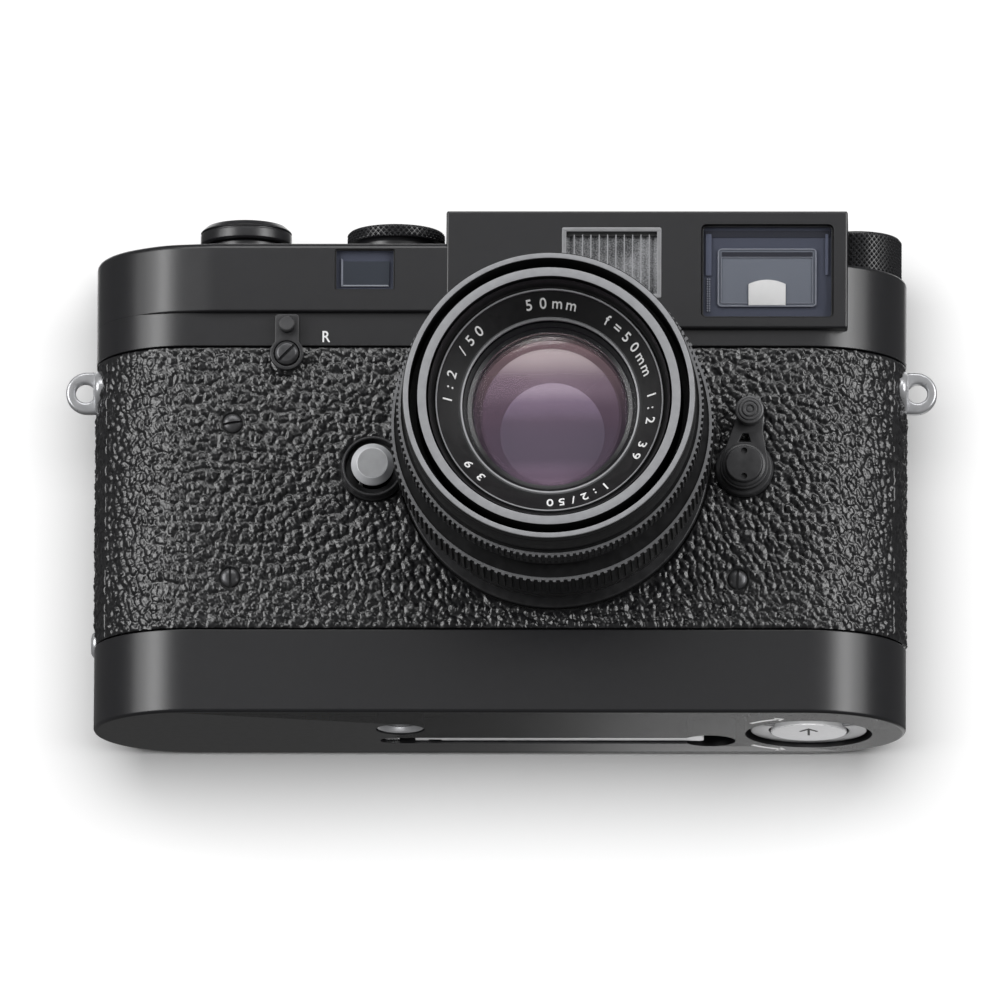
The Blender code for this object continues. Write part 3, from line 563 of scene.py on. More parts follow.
def view_camera():
    data = bpy.data.cameras.new("view")
    data.sensor_width = 36.0
    data.lens = 846.0
    data.clip_start = 0.1
    data.clip_end = 50.0
    camera = bpy.data.objects.new("view", data)
    bpy.context.scene.collection.objects.link(camera)
    forward = Vector((-math.sin(VIEW_AZIMUTH) * math.cos(VIEW_ELEVATION),
                      math.cos(VIEW_AZIMUTH) * math.cos(VIEW_ELEVATION),
                      math.sin(VIEW_ELEVATION)))
    camera.location = VIEW_TARGET - forward * VIEW_DISTANCE
    camera.rotation_mode = "QUATERNION"
    level = forward.to_track_quat("-Z", "Y")
    camera.rotation_quaternion = level @ Quaternion((0.0, 0.0, 1.0), VIEW_ROLL)
    bpy.context.scene.camera = camera


def one_sided(name, colour):
    """A pale surface seen only from its front side, so that a view from behind looks through."""
    made, tree, shader = new_material(name)
    nodes = tree.nodes
    noise = noise_node(tree, 6.0)
    shade = ramp_between(tree, noise.outputs["Fac"], tuple(c * 0.995 for c in colour), colour)
    tree.links.new(shade.outputs["Color"], shader.inputs["Base Color"])
    shader.inputs["Roughness"].default_value = 0.9
    shader.inputs["Specular IOR Level"].default_value = 0.0
    clear = nodes.new("ShaderNodeBsdfTransparent")
    geometry = nodes.new("ShaderNodeNewGeometry")
    mix = nodes.new("ShaderNodeMixShader")
    tree.links.new(geometry.outputs["Backfacing"], mix.inputs["Fac"])
    tree.links.new(shader.outputs["BSDF"], mix.inputs[1])
    tree.links.new(clear.outputs["BSDF"], mix.inputs[2])
    tree.links.new(mix.outputs["Shader"], nodes["Material Output"].inputs["Surface"])
    return made


FLOOR_HALF = 3000
WALL_HALF = 600
WALL_GAP = 1.5                            # from the body's back to the backdrop


def stage():
    """Pale floor under the winder, and a pale backdrop close behind that takes a soft shadow."""
    back = BACK + WALL_GAP
    sheets = []
    for name, shade, corners in (
            ("floor", 0.86, [(x * FLOOR_HALF, y * FLOOR_HALF, 0)
                             for x, y in ((-1, -1), (1, -1), (1, 1), (-1, 1))]),
            ("backdrop", 0.9, [(x * WALL_HALF, back, z * WALL_HALF)
                               for x, z in ((-1, -1), (1, -1), (1, 1), (-1, 1))])):
        sheet = mesh_object(name, corners, [(0, 1, 2, 3)])
        bpy.context.scene.collection.objects.link(sheet)
        sheet.data.materials.append(one_sided(name + "_white", (shade, shade, shade)))
        sheet.visible_shadow = False
        sheet.visible_diffuse = False
        sheet.visible_glossy = False
        sheet.visible_transmission = False
        sheets.append(sheet)
    world = bpy.data.worlds.new("studio")
    world.use_nodes = True
    tree = world.node_tree
    seen = tree.nodes["Background"]
    seen.inputs["Color"].default_value = (1.0, 1.0, 1.0, 1.0)
    seen.inputs["Strength"].default_value = 1.0
    room = tree.nodes.new("ShaderNodeBackground")
    room.inputs["Color"].default_value = (1.0, 1.0, 1.0, 1.0)
    room.inputs["Strength"].default_value = 0.13
    path = tree.nodes.new("ShaderNodeLightPath")
    mix = tree.nodes.new("ShaderNodeMixShader")
    tree.links.new(path.outputs["Is Camera Ray"], mix.inputs["Fac"])
    tree.links.new(room.outputs["Background"], mix.inputs[1])
    tree.links.new(seen.outputs["Background"], mix.inputs[2])
    tree.links.new(mix.outputs["Shader"], tree.nodes["World Output"].inputs["Surface"])
    bpy.context.scene.world = world
    bpy.context.scene.view_settings.view_transform = "Standard"
    bpy.context.scene.view_settings.look = "None"
    return sheets


def area_light(name, at, aim, width, height, power, shape="RECTANGLE"):
    """A soft box that the camera cannot see; metres and watts."""
    data = bpy.data.lights.new(name, "AREA")
    data.shape = shape
    data.size = width
    data.size_y = height
    data.energy = power
    data.spread = math.radians(180)
    lamp = bpy.data.objects.new(name, data)
    lamp.location = Vector(at)
    heading = Vector(aim) - lamp.location
    lamp.rotation_mode = "QUATERNION"
    lamp.rotation_quaternion = heading.to_track_quat("-Z", "Y")
    lamp.visible_camera = False
    bpy.context.scene.collection.objects.link(lamp)
    return lamp


def linked_group(name, objects, state):
    """A light-linking collection that includes or leaves out some pieces."""
    group = bpy.data.collections.new(name)
    for obj in objects:
        group.objects.link(obj)
    for member in group.collection_objects:
        member.light_linking.link_state = state
    return group


def lights(stage_pieces):
    """Soft boxes for the camera, and a separate one for the floor and the backdrop."""
    off_stage = linked_group("not_stage", stage_pieces, "EXCLUDE")
    on_stage = linked_group("only_stage", stage_pieces, "INCLUDE")
    boxes = [area_light(name, at, AIM, width, height, power) for name, at, width, height, power in (
        ("key_above", (0.0, -0.70, 0.80), 0.75, 0.45, 4.0),
        ("wide_left", (-0.84, -0.70, 0.24), 0.80, 0.80, 6.4),
        ("wide_right", (0.86, -0.68, 0.24), 0.80, 0.80, 6.4),
        ("core_left", (-0.70, -0.68, 0.22), 0.26, 0.80, 2.6),
        ("core_right", (0.72, -0.66, 0.22), 0.26, 0.80, 2.6),
        ("back_fill", (0.0, 0.8, 0.5), 0.8, 0.6, 1.8))]
    boxes.append(area_light("under_right", (0.13, 0.38, -0.085), (0.03, 0, 0.0), 0.26, 0.18, 0.10,
                            shape="ELLIPSE"))
    for lamp in boxes:
        lamp.light_linking.receiver_collection = off_stage
    sheet = area_light("sheet_light", (0.0, -1.2, 0.23), AIM, 1.5, 0.95, 23.0)
    sheet.light_linking.receiver_collection = on_stage


view_camera()
lights(stage())


# ---------------------------------------------------------------- covering

def cellular(points, cell, seed):
    """Distances to the two nearest jittered seeds of a square lattice, for 2-D points."""
    rng = np.random.default_rng(seed)
    low = np.floor(points.min(0) / cell).astype(int) - 2
    high = np.ceil(points.max(0) / cell).astype(int) + 2
    size = high - low + 1
    jitter = rng.uniform(0.08, 0.92, (size[0], size[1], 2))
    height = rng.uniform(0.55, 1.0, (size[0], size[1]))
    home = np.floor(points / cell).astype(int) - low
    first = np.full(len(points), 9e9)
    second = np.full(len(points), 9e9)
    tall = np.zeros(len(points))
    for dx in (-2, -1, 0, 1, 2):
        for dy in (-2, -1, 0, 1, 2):
            ix = home[:, 0] + dx
            iy = home[:, 1] + dy
            at = np.stack([(ix + low[0] + jitter[ix, iy, 0]) * cell,
                           (iy + low[1] + jitter[ix, iy, 1]) * cell], 1)
            distance = np.hypot(*(points - at).T)
            nearer = distance < first
            second = np.where(nearer, first, np.minimum(second, distance))
            tall = np.where(nearer, height[ix, iy], tall)
            first = np.where(nearer, distance, first)
    return first, second, tall


def pebbles(points, seed):
    """Height of a coarse pebbled hide: steep domed grains parted by creases, with finer lumps."""
    warp = np.stack([np.sin(points[:, 1] * 1.9 + 0.6) + np.sin(points[:, 0] * 0.83 + 1.0),
                     np.sin(points[:, 0] * 1.7 + 2.1) + np.sin(points[:, 1] * 0.71)], 1)
    bent = points + warp * 0.16
    leaned = np.stack([bent[:, 0] + 0.25 * bent[:, 1], bent[:, 1] * 0.74], 1)
    first, second, tall = cellular(leaned, 1.28, seed)
    crease = np.clip((second - first) / 0.40, 0, 1)
    grain = np.clip(1.15 - (first / 0.80) ** 2, 0, 1)
    fine_first, fine_second, fine_tall = cellular(leaned + 31.0, 0.62, seed + 1)
    fine = np.clip((fine_second - fine_first) / 0.30, 0, 1) * fine_tall
    return (0.34 * grain + 0.18 * np.sqrt(crease)) * tall + 0.17 * fine


def wrap(u):
    """Point and outward normal at arc length u round the stadium, from the front's middle."""
    straight = END_CENTRE
    bend = math.pi * END_RADIUS
    side = np.sign(u)
    run = np.abs(u)
    turn = np.clip(run - straight, 0, bend) / END_RADIUS
    rest = np.clip(run - straight - bend, 0, None)
    along = np.minimum(run, straight)
    x = side * (along + END_RADIUS * np.sin(turn) - rest)
    y = -END_RADIUS * np.cos(turn)
    normal = np.stack([side * np.sin(turn), -np.cos(turn)], 1)
    return x, y, normal


HIDE_THICKNESS = 0.8
HIDE_MEAN = 0.34                          # pebble height that lies on the body's surface
HIDE_HEM = 0.1                            # how far the edges are pressed in
HEM_WIDTH = 0.5
DOOR_GAP = 0.6
HOLE_SNAP = 0.72                          # share of a step within which points move to a rim
FRONT_STEP = 0.2
END_STEP = 0.34
DOOR_STEP = 0.3
SEAM_RUN = 18.0                           # the front sheet's run past each bend's start
LENS_HOLE = 26.7


def hide_sheet(name, u_low, u_high, z_low, z_high, step, holes, seed, body="camera"):
    """Pebbled covering over part of the stadium, with round holes given as (u, z, radius)."""
    columns = int(round((u_high - u_low) / step)) + 1
    rows = int(round((z_high - z_low) / step)) + 1
    u, z = np.meshgrid(np.linspace(u_low, u_high, columns), np.linspace(z_low, z_high, rows))
    u = u.ravel()
    z = z.ravel()
    gone = np.zeros(len(u), bool)
    for hole_u, hole_z, radius in holes:
        du = u - hole_u
        dz = z - hole_z
        reach = np.hypot(du, dz) + 1e-9
        snap = np.abs(reach - radius) < step * HOLE_SNAP
        u = np.where(snap, hole_u + du / reach * radius, u)
        z = np.where(snap, hole_z + dz / reach * radius, z)
        gone |= (reach < radius) & ~snap
    height = pebbles(np.stack([u, z], 1), seed)
    border = np.minimum.reduce([u - u_low, u_high - u, z - z_low, z_high - z])
    for hole_u, hole_z, radius in holes:
        border = np.minimum(border, np.abs(np.hypot(u - hole_u, z - hole_z) - radius))
    settle = np.clip(border / HEM_WIDTH, 0, 1)
    height = (height - HIDE_MEAN) * settle - HIDE_HEM * (1 - settle)
    x, y, normal = wrap(u)
    x = x + normal[:, 0] * height
    y = y + normal[:, 1] * height
    index = np.arange(rows * columns).reshape(rows, columns)
    quads = np.stack([index[:-1, :-1], index[:-1, 1:], index[1:, 1:], index[1:, :-1]],
                     -1).reshape(-1, 4)
    keep = ~gone[quads].any(1)
    quads = quads[keep]
    obj = mesh_object(name, np.stack([x, y, z], 1), quads.tolist())
    shape = bmesh.new()
    shape.from_mesh(obj.data)
    loose = [v for v in shape.verts if not v.link_faces]
    bmesh.ops.delete(shape, geom=loose, context="VERTS")
    edges = [e for e in shape.edges if len(e.link_faces) == 1]
    made = bmesh.ops.extrude_edge_only(shape, edges=edges)
    fresh = [v for v in made["geom"] if isinstance(v, bmesh.types.BMVert)]
    for vert in fresh:
        away = Vector((max(abs(vert.co.x) - END_CENTRE * MM, 0) * math.copysign(1, vert.co.x),
                       vert.co.y, 0)).normalized()
        vert.co -= away * HIDE_THICKNESS * MM
    shape.to_mesh(obj.data)
    shape.free()
    return as_piece(obj, LEATHER, body, smooth=75.0)


def covering():
    """Three sheets round the front and both ends, with holes for what stands on the body."""
    top = SHELL_HIGH.z
    bottom = SHELL_LOW.z
    quarter = END_CENTRE + math.pi * END_RADIUS / 2
    holes = [(LENS_X, LENS_Z, LENS_HOLE)]
    for node, radius in (("lens_release_ring", 5.6), ("selector_base", 5.0),
                         ("front_screw_upper", 1.95), ("front_screw_lower", 1.95),
                         ("front_screw_right", 1.95)):
        spot = centre(node)
        holes.append((spot.x, spot.z, radius))
    lug = centre("strap_lug_left")
    stud = centre("base_stud")
    holes.append((-quarter, lug.z, 3.9))
    holes.append((quarter, lug.z, 3.9))
    holes.append((-quarter, stud.z, 2.7))
    seam = END_CENTRE + SEAM_RUN
    front = hide_sheet("covering_front", -seam, seam, bottom, top, FRONT_STEP, holes, 5)
    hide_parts("front_covering")
    door_low, door_high = low_high("door_covering")
    half = END_CENTRE * 2 + math.pi * END_RADIUS
    right_end = half - door_high.x - DOOR_GAP
    left_end = half + door_low.x - DOOR_GAP
    hide_sheet("covering_right", seam, right_end, bottom, top, END_STEP, holes, 6)
    hide_sheet("covering_left", -left_end, -seam, bottom, top, END_STEP, holes, 7)


covering()


# ---------------------------------------------------------------- top cover

COVER_BOTTOM = COVER_LOW.z
STEP_LEVEL = 69.3
PANE_GAP = 0.3
FINDER_LEFT = low_high("illumination_window")[0].x - PANE_GAP - 19.6
FINDER_RIGHT = low_high("viewfinder_glass")[1].x + PANE_GAP + 2.4
FINDER_BOTTOM = 66.4
FINDER_FACE = FRONT - 1.35
BROW = FRONT - 1.25


OVERLAP = 0.02                            # the upper decks stand this far over the lower one
SWELL_ANGLE = 56                          # degrees round the left end where the swell starts
SWELL_END = -48.0                         # x where it reaches the brow


def finder_plan():
    """Plan of the finder housing: square front corners, the rear right one on the body's curve."""
    corner = math.degrees(math.acos((FINDER_RIGHT - END_CENTRE) / END_RADIUS))
    front = [(FINDER_LEFT, FINDER_FACE), (FINDER_RIGHT, FINDER_FACE)]
    rear = arc((END_CENTRE, 0), END_RADIUS + OVERLAP, corner, 90, 16)
    return front + rear + [(FINDER_LEFT, BACK + OVERLAP)]


def release_plan(brow):
    """Plan of the release deck, whose front swells out from the body's round left end."""
    points = arc((-END_CENTRE, 0), END_RADIUS + OVERLAP, 90, 180 + SWELL_ANGLE, 44)
    start = points[-1]
    slope = (math.sin(math.radians(SWELL_ANGLE)), -math.cos(math.radians(SWELL_ANGLE)))
    for k in range(1, 13):
        t = k / 12
        ease = t * t * (3 - 2 * t)
        x = start[0] + (SWELL_END - start[0]) * t
        free = start[1] + slope[1] / slope[0] * (x - start[0]) * (1 - t)
        points.append((x, free * (1 - ease) + brow * ease))
    points.append((FINDER_LEFT + 2, brow))
    points.append((FINDER_LEFT + 2, BACK - 0.4))
    points.append((FINDER_LEFT + 0.5, BACK + OVERLAP))
    return points


def glazed_window(node):
    """Limits of the window opening round a CAD pane."""
    low, high = low_high(node)
    return (low.x - PANE_GAP, high.x + PANE_GAP, low.z - PANE_GAP, high.z + PANE_GAP)


FINDER_WINDOW = glazed_window("viewfinder_glass")
FROSTED_WINDOW = glazed_window("illumination_window")
PATCH_WINDOW = glazed_window("rangefinder_window")


def window_cutter(window, corner, face_y, depth):
    outline = round_box(*window, corner)
    return loft("cutter", outline, [(-face_y - depth, 0.0), (-face_y + 3, 0.0)], axis="front")


def finder_cutters():
    """The two windows that run through the finder housing into the deck behind it."""
    return [window_cutter(FINDER_WINDOW, 0.9, FINDER_FACE, 6.5),
            window_cutter(FROSTED_WINDOW, 0.35, FINDER_FACE, 2.6)]


def top_cover():
    lower = loft("cover_lower_deck", stadium(END_RADIUS), levels(COVER_BOTTOM, REWIND_DECK, 0.15,
                                                                 0.7))
    lacquered(carve(lower, finder_cutters()))
    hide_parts("top_cover")
    release = loft("release_deck", release_plan(BROW), levels(STEP_LEVEL, RELEASE_DECK, 0.35, 1.1))
    lacquered(carve(release, [window_cutter(PATCH_WINDOW, 0.45, BROW, 2.4)]))
    housing = loft("finder_housing", finder_plan(), levels(FINDER_BOTTOM, FINDER_TOP, 0.4, 0.4))
    bevel(housing, 0.4, 3)
    knob_room = loft("cutter", circle((KNOB.x, KNOB.y), 8.4, 96),
                     [(REWIND_DECK, 0.0), (FINDER_TOP + 5, 0.0)])
    lacquered(carve(housing, finder_cutters() + [knob_room]))


top_cover()


# ---------------------------------------------------------------- winder

SLOT_Y = centre("trigger_lever").y
TRIGGER_LOW, TRIGGER_HIGH = low_high("trigger_lever")
LOCK = (52.5, 1.0)                        # the lock disc's axis
LOCK_AT = (*LOCK, 0)
BUSH = centre("tripod_bush")
BUSH_AT = (BUSH.x, BUSH.y, 0)
RECESS_X = TRIGGER_HIGH.x + 1.0
RECESS_RADIUS = 4.4
SLOT_LEFT = TRIGGER_LOW.x - 5.1
SLOT_HALF = 2.2
TRIGGER_PIN_AT = (-13.5, SLOT_Y, 2.2)


def winder():
    """Winder shell with the trigger's slot and finger recess, the bush and the lock's seat."""
    shell = loft("winder_shell", stadium(END_RADIUS), levels(0.0, WINDER_HIGH.z, 0.6, 0.15, 5))
    slot = arc((SLOT_LEFT + SLOT_HALF, SLOT_Y), SLOT_HALF, 90, 270, 16)
    dish = math.degrees(math.asin(SLOT_HALF / RECESS_RADIUS))
    slot += arc((RECESS_X, SLOT_Y), RECESS_RADIUS, 180 + dish, 540 - dish, 40)
    carve(shell, [loft("cutter", outline, [(-3, 0.0), (depth, 0.0)]) for outline, depth in (
        (slot, 3.6), (circle(BUSH_AT[:2], 4.15), 4), (circle(LOCK, 10.8, 96), 2.2))])
    lacquered(bevel(shell, 0.12, 2), "winder")
    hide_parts("winder_housing")


winder()


# ---------------------------------------------------------------- lens

LENS_AT = (LENS_X, FRONT, LENS_Z)
FOCUS_TEETH = 136
APERTURE_TEETH = 152


def toothed(teeth, root, tip):
    """Outline of a ring gripped by small square teeth with slightly narrowed tips."""
    points = []
    pitch = 2 * math.pi / teeth
    for i in range(teeth):
        base = i * pitch
        for part, radius in ((0.0, root), (0.25, root), (0.31, tip), (0.69, tip), (0.75, root)):
            angle = base + part * pitch
            points.append((radius * math.cos(angle), radius * math.sin(angle)))
    return points


def lens_lathe(name, profile, finish, node, **more):
    """A turned piece on the lens axis, with the body of a CAD node."""
    return lathe(name, profile, LENS_AT, "front", finish, BODY_OF[node], SLOT_OF[node], **more)


def grip_ring(name, node, teeth, root, tip, low, high, bore, face_inner):
    """A toothed ring whose front face is a pale band of painted sheen."""
    outline = toothed(teeth, root, tip)
    grip = slab(name, [outline, circle((0, 0), bore, 96)], low, high - 0.3, LENS_AT, "front",
                ANODISED, BODY_OF[node], edge=0.03, steps=0)
    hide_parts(node)
    slab(name + "_face", [outline, circle((0, 0), face_inner, 160)], high - 0.3, high, LENS_AT,
         "front", SHEEN_AND_PALE_METAL, BODY_OF[node], edge=0.03, steps=0)
    lens_lathe(name + "_inner", [(face_inner - 0.02, high - 0.3), (face_inner - 0.1, high - 0.75),
                                 (face_inner - 0.32, high - 0.75), (face_inner - 0.36, high - 0.35),
                                 (face_inner - 0.64, high - 0.35), (face_inner - 0.9, high - 1.2),
                                 (bore, high - 1.3)], ANODISED, node, soft=0.03)


def lens_rings():
    bayonet = lens_lathe("bayonet_ring", [(24.3, 2.2), (24.3, 1.2), (21.6, 1.2), (21.6, -3.3),
                                          (19.0, -3.3), (19.0, 2.2)], CHROME, "lens_bayonet",
                         closed=True)
    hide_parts("lens_bayonet")
    barrel = lens_lathe("barrel_ring", [
        (22.0, 26.4), (22.0, 15.5), (25.2, 15.5), (25.75, 15.2), (25.8, 14.6), (25.8, 8.3),
        (25.3, 8.1), (25.3, 7.7), (25.8, 7.5), (25.8, 6.3), (25.3, 5.9), (24.4, 5.8), (24.4, 2.5),
        (18.0, 2.5), (18.0, 26.4)], ANODISED, "lens_barrel", closed=True)
    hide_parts("lens_barrel")
    grip_ring("focus_grip", "focus_ring", FOCUS_TEETH, 27.0, 27.32, 16.0, 25.2, 22.3, 26.55)
    head = lens_lathe("head_tube", [
        (22.08, 46.4), (22.08, 33.0), (24.3, 33.0), (24.7, 32.7), (24.7, 30.6), (24.45, 30.5),
        (24.45, 30.1), (24.7, 30.0), (24.7, 27.2), (24.4, 26.8), (17.6, 26.8), (17.6, 4.5),
        (11.2, 4.5), (11.2, 10.0), (13.0, 10.0), (13.0, 35.3), (14.95, 35.3), (14.95, 37.7),
        (20.62, 37.7), (20.62, 46.4)], BLACK_AND_RECESS_SHADE, "lens_head", closed=True)
    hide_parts("lens_head")
    lens_lathe("head_face", [(22.08, 46.35), (22.08, 46.5), (20.64, 46.5), (20.64, 46.35)],
               PAINTED_RIM_SHEEN, "lens_head", closed=True, soft=0.03)
    grip_ring("aperture_grip", "aperture_ring", APERTURE_TEETH, 25.48, 25.84, 33.3, 37.8, 22.4,
              25.08)
    hood = lens_lathe("hood_tube", [
        (24.4, 46.85), (24.65, 46.7), (24.65, 45.2), (24.45, 45.05), (24.45, 44.75),
        (24.65, 44.6), (24.65, 38.3), (24.5, 38.1), (22.4, 38.1), (22.4, 39.4), (23.62, 39.4),
        (23.62, 46.85)], BLACK_AND_RECESS_SHADE, "lens_hood", closed=True)
    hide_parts("lens_hood")
    lens_lathe("hood_face", [(24.5, 46.8), (24.42, 47.0), (23.66, 47.0), (23.6, 46.8)],
               PAINTED_RIM_SHEEN, "lens_hood", closed=True, soft=0.04)
    name = lens_lathe("name_cone", [
        (20.3, 45.6), (20.3, 38.0), (15.0, 38.0), (15.0, 38.75), (15.35, 38.95), (18.75, 42.6),
        (18.85, 43.1), (19.15, 43.25), (19.3, 43.0), (19.6, 42.9), (20.0, 44.6)], BLACK_AND_RECESS_SHADE,
        "name_ring", closed=True, soft=0.06)
    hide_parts("name_ring")
    lens_lathe("name_rim", [(18.86, 43.1), (18.92, 43.45), (19.12, 43.45), (19.16, 43.1)],
               PAINTED_RIM_SHEEN, "name_ring", closed=True, soft=0.03)
    lens_lathe("glass_rim", [(14.7, 38.6), (14.75, 39.0), (15.05, 39.1), (15.3, 38.9)],
               SHEEN_AND_PALE_METAL, "name_ring", closed=True, soft=0.03)


def painted_light_gradient(name, stops, roughness=0.12, across="Z", fade=None):
    """An optical face whose tint runs from one edge to the other as painted light (painted
    reflections on the lens coatings, painted shading on window panes), and whose cover, if faded,
    runs the same way.
    """
    made, tree, shader = new_material(name)
    coords = tree.nodes.new("ShaderNodeTexCoord")
    split = tree.nodes.new("ShaderNodeSeparateXYZ")
    tree.links.new(coords.outputs["Generated"], split.inputs["Vector"])
    grain = noise_node(tree, 120.0)
    blend = math_node(tree, "MULTIPLY_ADD", grain.outputs["Fac"], 0.05, split.outputs[across])
    # the ramp paints reflections and shading along the face
    ramp = ramp_of(tree, blend, stops)
    ramp.color_ramp.interpolation = "EASE"
    tree.links.new(ramp.outputs["Color"], shader.inputs["Base Color"])
    shader.inputs["Roughness"].default_value = roughness
    shader.inputs["Specular IOR Level"].default_value = 0.25
    if fade:
        levels_of_cover = [(place_at, (level, level, level)) for place_at, level in fade]
        cover = ramp_of(tree, split.outputs[across], levels_of_cover)
        tree.links.new(cover.outputs["Color"], shader.inputs["Alpha"])
    return made


THIN_TINT = (0.02, 0.02, 0.03)


def clear_glass(name, alpha):
    """Thin glass: mostly see-through, with a faint sharp reflection."""
    made, tree, shader = new_material(name)
    noise = noise_node(tree, 60.0)
    shade = ramp_between(tree, noise.outputs["Fac"], tuple(c * 0.8 for c in THIN_TINT), THIN_TINT)
    tree.links.new(shade.outputs["Color"], shader.inputs["Base Color"])
    shader.inputs["Roughness"].default_value = 0.03
    shader.inputs["Alpha"].default_value = alpha
    return made


def dome(radius, rim, rise, steps=10):
    """(radius, height) points of a dome from its middle out to its rim."""
    return [(radius * i / steps, rim + rise * (1 - (i / steps) ** 2)) for i in range(steps + 1)]


def lens_glass():
    """Nested elements at their own depths in the tube; the tints of their coatings and of the tube
    wall carry painted reflections that change from bottom to top.
    """
    # painted reflections: light and dark bands from bottom to top on the tube wall and the elements
    wall = painted_light_gradient("tube_painted_reflection", [(0.0, (0.10, 0.062, 0.10)), (0.3, (0.022, 0.011, 0.017)),
                                 (0.7, (0.025, 0.015, 0.019)), (1.0, (0.085, 0.060, 0.062))],
                  across="Y")
    outer = painted_light_gradient("outer_coating_painted_reflection", [(0.0, (0.10, 0.07, 0.10)), (0.5, (0.05, 0.034, 0.044)),
                                     (0.85, (0.11, 0.075, 0.085)), (1.0, (0.156, 0.102, 0.114))],
                   across="Y", fade=[(0.0, 0.35), (0.4, 0.3), (0.75, 0.8), (1.0, 1.0)])
    second = painted_light_gradient("second_coating_painted_reflection", [(0.0, (0.12, 0.08, 0.12)), (0.38, (0.125, 0.088, 0.125)),
                                       (0.56, (0.15, 0.10, 0.14)), (0.76, (0.28, 0.20, 0.26)),
                                       (1.0, (0.60, 0.50, 0.52))],
                    across="Y", fade=[(0.0, 0.35), (0.6, 0.42), (0.8, 0.5), (1.0, 0.75)])
    deep = painted_light_gradient("deep_coating_painted_reflection", [(0.0, (0.52, 0.38, 0.50)), (0.12, (0.22, 0.17, 0.23)),
                                   (0.3, (0.085, 0.088, 0.112)), (0.6, (0.09, 0.09, 0.12)),
                                   (0.82, (0.30, 0.25, 0.36)), (1.0, (0.74, 0.65, 0.79))],
                  across="Y")
    lens_lathe("inner_step", [(14.6, 37.7), (14.0, 37.2), (13.9, 36.6), (13.2, 36.3)], ANODISED,
               "lens_head", soft=0.03)
    coatings = [
        lens_lathe("inner_wall", [(13.3, 36.3), (13.05, 34.9), (12.9, 31.6), (12.6, 30.4),
                                  (12.0, 28.6), (8.8, 17.4)], wall, "lens_head", soft=0.05),
        lens_lathe("element_outer", [(11.5, 31.55), (12.9, 31.5)], outer, "front_element", soft=0),
        lens_lathe("element_second", dome(11.9, 30.0, 0.3), second, "front_element", soft=0),
        lens_lathe("element_deep", dome(8.8, 17.4, 0.4), deep, "front_element", soft=0),
    ]
    front = lens_lathe("front_glass", dome(14.75, 38.4, 2.6, 20), clear_glass("front_glass", 0.08),
                       "front_element", soft=0)
    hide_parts("front_element", "iris")
    lamp = area_light("coating_light", (0.05, -1.2, -0.22), (0.009, 0, 0.044), 0.3, 0.3, 14.0)
    lamp.light_linking.receiver_collection = linked_group("coatings", coatings, "INCLUDE")


MARK_RADIUS = 17.1
MARK_HEIGHT = 40.95
MARK_SIZE = 3.1
MARK_LEAN = 47.0                          # degrees, as the name ring's cone


def lens_marks():
    """Generic figures round the name ring, at clockwise angles from its top."""
    tilt = Matrix.Rotation(math.radians(MARK_LEAN), 4, "X")
    for name, text, middle, spread in (
            ("mark_top", "50mm", 0, 24), ("mark_right", "f=50mm 1:2 39", 78, 88),
            ("mark_bottom", "1:2/50", 163, 33), ("mark_low_left", "39", 227, 10),
            ("mark_left", "1:2 /50", 294, 44)):
        step = spread / (len(text) - 1)
        for i, mark in enumerate(text):
            if mark == " ":
                continue
            turn = math.radians(middle - spread / 2 + step * i)
            spot = Vector((LENS_AT[0] + MARK_RADIUS * math.sin(turn), LENS_AT[1] - MARK_HEIGHT,
                           LENS_AT[2] + MARK_RADIUS * math.cos(turn)))
            piece = lettering("%s_%d" % (name, i), mark, MARK_SIZE, (0, 0, 0), "up", "lens_head",
                              width=0.8, bold=0.02)
            piece.parent = None
            piece.matrix_world = (Matrix.Translation(spot * MM) @ TURNS["front"]
                                  @ Matrix.Rotation(-turn, 4, "Z") @ tilt)
            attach(piece, "lens_head")


lens_rings()
lens_glass()
lens_marks()


# ---------------------------------------------------------------- top controls

KNURL_DEPTH = 0.34
KNURL_SAMPLES = 6                         # mesh columns and rows to a diamond


def knurled(name, radius, low, high, at, body, around, rows, cap_profile):
    """A drum whose wall carries diamond knurling, closed by a smooth rounded cap."""
    columns = around * KNURL_SAMPLES
    steps = max(8, rows * KNURL_SAMPLES)
    rings = []
    for k in range(steps + 1):
        t = k / steps
        fade = min(1.0, t * steps / 1.5, (1 - t) * steps / 1.5)
        rings.append((low + (high - low) * t, t * rows, fade))
    vertices = []
    for height, row, fade in rings:
        for c in range(columns):
            u = c / KNURL_SAMPLES
            angle = 2 * math.pi * c / columns
            first = abs(((u + row) % 1.0) - 0.5) * 2
            second = abs(((u - row) % 1.0) - 0.5) * 2
            r = radius - KNURL_DEPTH + KNURL_DEPTH * min(1.0, 1.5 * min(first, second)) * fade
            vertices.append((r * math.cos(angle), r * math.sin(angle), height))
    faces = []
    for k in range(steps):
        for c in range(columns):
            n = (c + 1) % columns
            faces.append((k * columns + c, k * columns + n, (k + 1) * columns + n,
                          (k + 1) * columns + c))
    wall = mesh_object(name, vertices, faces, at, "up")
    as_piece(wall, PAINT, body, smooth=24.0)
    painted_light_tops(lathe(name + "_cap", cap_profile, at, "up", PAINT, body, "black_paint", soft=0.15))
    return wall


